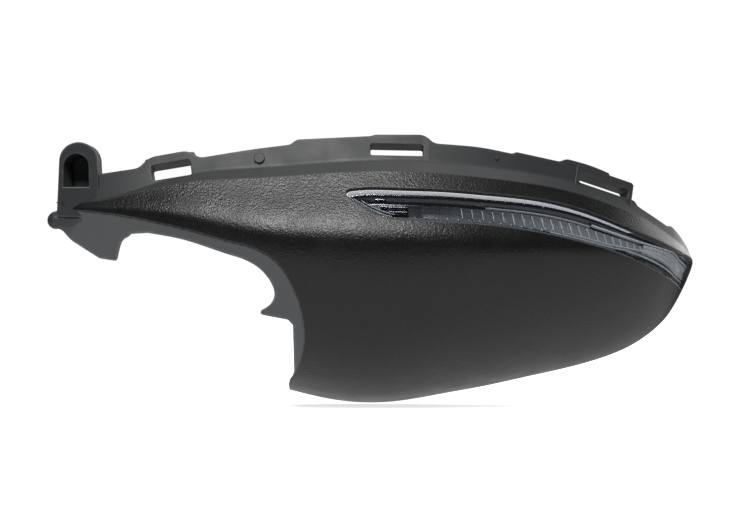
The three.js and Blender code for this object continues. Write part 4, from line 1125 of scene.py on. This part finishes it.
def build_bezel():
    """The dark bowl behind the lens, with its window for the guide, and the fins at its inboard tip."""
    def depth(s, down):
        return BEZEL_DEPTH + BEZEL_BOWL * smooth_step((inside_lens(s, down) - 1.5) / 3.2)

    def field(s, down):
        window = np.minimum.reduce([
            (s - GUIDE_START + 0.004) * STATION_LENGTH, (OPTIC_END + 0.006 - s) * STATION_LENGTH,
            down - WINDOW_TOP, tall(s) - WINDOW_BOTTOM - down])
        return np.minimum(inside_lens(s, down) - BEZEL_INSET, -window)

    add_shell("bezel", lamp_plate(
            LENS_ENDS, from_top(0), from_bottom(0), depth, BEZEL_THICK,
            along=0.6, across=0.3, radius=0.15, field_of=field), [CHROME] * 3, "bezel", node="lamp_bezel")
    parts = [lamp_plate((start, end), from_top(top), from_top(top + high), level(2.6), 1.6,
            along=0.8, radius=0.1)[:2] for start, end, top, high in FINS]
    add_piece("bezel_fins", *joined(parts), [DARK_CHROME], "bezel")


def build_guide():
    """The clear guide bar, the lines at its cell boundaries and the two rows of spots, the lines and spots
    painted pale as their highlights.
    """
    def depth(s, down):
        return GUIDE_DEPTH + 0.8 * np.exp(-(cells_at(s, GUIDE_START, GUIDE_PITCH) / 0.3) ** 2)

    add_shell("guide_bar", lamp_plate(
        (GUIDE_START, OPTIC_START - 0.003), from_top(GUIDE_TOP), from_bottom(GUIDE_BOTTOM), depth, GUIDE_THICK,
        along=0.3, across=0.8, radius=0.3), [GUIDE] * 3, "guide", node="light_guide")
    lines, spots = [], []
    count = int((OPTIC_START - GUIDE_START) * STATION_LENGTH / GUIDE_PITCH)
    for i in range(1, count + 1):
        s = GUIDE_START + i * GUIDE_PITCH / STATION_LENGTH
        if s > FIRST_LINE:
            lines.append(lamp_plate(
                    (s - LINE_HALF, s + LINE_HALF), from_top(GUIDE_TOP + 0.2), from_bottom(GUIDE_BOTTOM + 0.2),
                    level(3.0), 0.5, along=0.1, across=1.2)[:2])
    add_piece("guide_lines", *joined(lines), [PALE_GLINT], "guide")

    def spot(s, down, size):
        at = lamp_points(np.array(s), np.array(down), np.array(SPOT_DEPTH))
        dome = [(size * math.cos(a) + 1e-3, size * math.sin(a)) for a in np.linspace(0, math.pi / 2, 6)]
        return lathe([(size * 0.9, -0.9)] + dome, lamp_frame(s, at, -1), SPOT_SEGMENTS)

    for i in range(count - 3):
        s = GUIDE_START + (i + 0.5) * GUIDE_PITCH / STATION_LENGTH
        if TOP_SPOTS[0] <= s <= TOP_SPOTS[1]:
            last = s > TOP_SPOTS[1] - 0.022
            spots.append(spot(s, TOP_SPOT_DOWN, LAST_SPOT_SIZE if last else SPOT_SIZE))
        if BOTTOM_SPOTS[0] <= s <= BOTTOM_SPOTS[1]:
            spots.append(spot(s, float(tall(s)) - BOTTOM_SPOT_UP, SPOT_SIZE))
    add_piece("guide_spots", *joined(spots), [PALE_GLINT], "guide")


def build_optic():
    """The ribbed optic at the lamp's outboard end, with a groove along its middle, and the edge strips,
    painted pale as the highlights along the lens's edges.
    """
    def depth(s, down):
        rib = (OPTIC_RIB * smooth_step((RIBS_END - s) / 0.03)
               * (1 - np.abs(np.cos(math.pi * (s - OPTIC_START) * STATION_LENGTH / OPTIC_PITCH))))
        middle = (GUIDE_TOP + tall(s) - GUIDE_BOTTOM) / 2
        return OPTIC_DEPTH + rib + OPTIC_GROOVE * np.exp(-((down - middle) / 0.35) ** 2)

    add_shell("end_optic_ribs", lamp_plate(
        (OPTIC_START + 0.003, OPTIC_END), from_top(GUIDE_TOP), from_bottom(GUIDE_BOTTOM), depth, OPTIC_THICK,
        along=0.24, across=0.35, radius=0.3), [OPTIC] * 3, "guide", node="end_optic")
    strips = [lamp_plate(ends, from_top(down), from_top(down + high), level(deep), 1.2)[:2]
            for ends, down, high, deep in TOP_STRIPS]
    strips += [lamp_plate(ends, from_bottom(up), from_bottom(up - high), level(STRIP_DEPTH), 0.7,
            field_of=lambda s, down: inside_lens(s, down) - 1.05)[:2]
            for ends, up, high in BOTTOM_STRIPS]
    add_piece("guide_strips", *joined(strips), [PALE_GLINT], "guide")


build_inside()
build_lens()
build_bezel()
build_guide()
build_optic()

# ---- CAD nodes that stay ----

KEPT = {
    "lamp_gasket": RUBBER, "lamp_housing": HOUSING, "guide_reflector": DARK_CHROME, "end_reflector": SILVER,
    "main_circuit_board": BOARD, "end_circuit_board": BOARD, "board_link_ribbon": FLEX,
    "driver_chip": CHIP, "capacitor": CHIP, "vent_membrane": MEMBRANE,
}
FAMILIES = {"led": LED, "resistor": RESISTOR, "connector_pin": TIN, "lamp_screw": STEEL}
for name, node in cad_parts.items():
    if node.hide_render:
        continue
    look = KEPT.get(name) or next(m for key, m in FAMILIES.items() if key in name)
    node.data.materials.clear()
    node.data.materials.append(look)

# ---- Stage and light, in the row frame's metres ----

FLOOR_GAP = 0.0006
FLOOR_SEGMENTS = 96
FLOOR_RADII = [0.02, 0.1, 0.3, 0.8, 2, 6, 14]
ROOM_GLOW, BACKDROP_GLOW = 0.07, 1.02

floor_z = cad_box[0][2] - FLOOR_GAP
turn = full_turn(FLOOR_SEGMENTS)
floor_verts = [(0, 0, floor_z)]
floor_verts += [(r * math.cos(a), r * math.sin(a), floor_z) for r in FLOOR_RADII for a in turn]
floor_faces = [[0, 1 + i, 1 + (i + 1) % FLOOR_SEGMENTS] for i in range(FLOOR_SEGMENTS)]
floor_faces += [[1 + i for i in face[::-1]] for face in bands(len(FLOOR_RADII), FLOOR_SEGMENTS)]
floor_mesh = bpy.data.meshes.new("floor")
floor_mesh.from_pydata(floor_verts, [], floor_faces)
floor = bpy.data.objects.new("floor", floor_mesh)
bpy.context.scene.collection.objects.link(floor)
paper = Look("paper", Roughness=0.9, Emission_Color=(1, 1, 1, 1), Specular_IOR_Level=0.0)
paper.use("Base Color", paper.mix(paper.noise(6, 3), grey(0.8), grey(0.84)))
# Its glow rises with distance, so that the floor meets the backdrop without a horizon.
apart = paper.node("ShaderNodeVectorMath", {0: paper.place()}, operation="LENGTH").outputs["Value"]
paper.use("Emission Strength", paper.span(apart, 0.25, 0.9, 0.72, 1.05))
floor_mesh.materials.append(paper.material)
floor.visible_diffuse = floor.visible_glossy = False


def softbox(name, at, size, power, aim=(0, 0, 0.02)):
    data = bpy.data.lights.new(name, "AREA")
    data.shape, data.size, data.size_y, data.energy = "RECTANGLE", size[0], size[1], power
    lamp = bpy.data.objects.new(name, data)
    lamp.location = at
    lamp.rotation_euler = (Vector(aim) - Vector(at)).to_track_quat("-Z", "Y").to_euler()
    lamp.visible_camera = False
    bpy.context.scene.collection.objects.link(lamp)


softbox("front_top", (-0.17, -0.85, 0.92), (0.27, 0.3), 8.0)
softbox("overhead", (0.1, 0.1, 1.2), (0.9, 0.6), 3.5)
softbox("table_bounce", (0, -0.06, floor_z - 0.004), (0.7, 0.36), 0.5, aim=(0, -0.06, 1))
softbox("right_back", (0.72, 0.55, 0.34), (0.9, 0.7), 5.5)
softbox("back_fill", (-0.3, 1.0, 0.7), (0.7, 0.5), 5)

world = bpy.data.worlds.new("room")
world.use_nodes = True
bpy.context.scene.world = world
nodes, links = world.node_tree.nodes, world.node_tree.links
background = nodes["Background"]
background.inputs["Color"].default_value = (1, 1, 1, 1)
path = nodes.new("ShaderNodeLightPath")
dim = nodes.new("ShaderNodeMapRange")
links.new(path.outputs["Is Camera Ray"], dim.inputs["Value"])
dim.inputs["To Min"].default_value = ROOM_GLOW
dim.inputs["To Max"].default_value = BACKDROP_GLOW
links.new(dim.outputs["Result"], background.inputs["Strength"])

scene = bpy.context.scene
scene.view_settings.view_transform = "Standard"
scene.view_settings.look = "None"
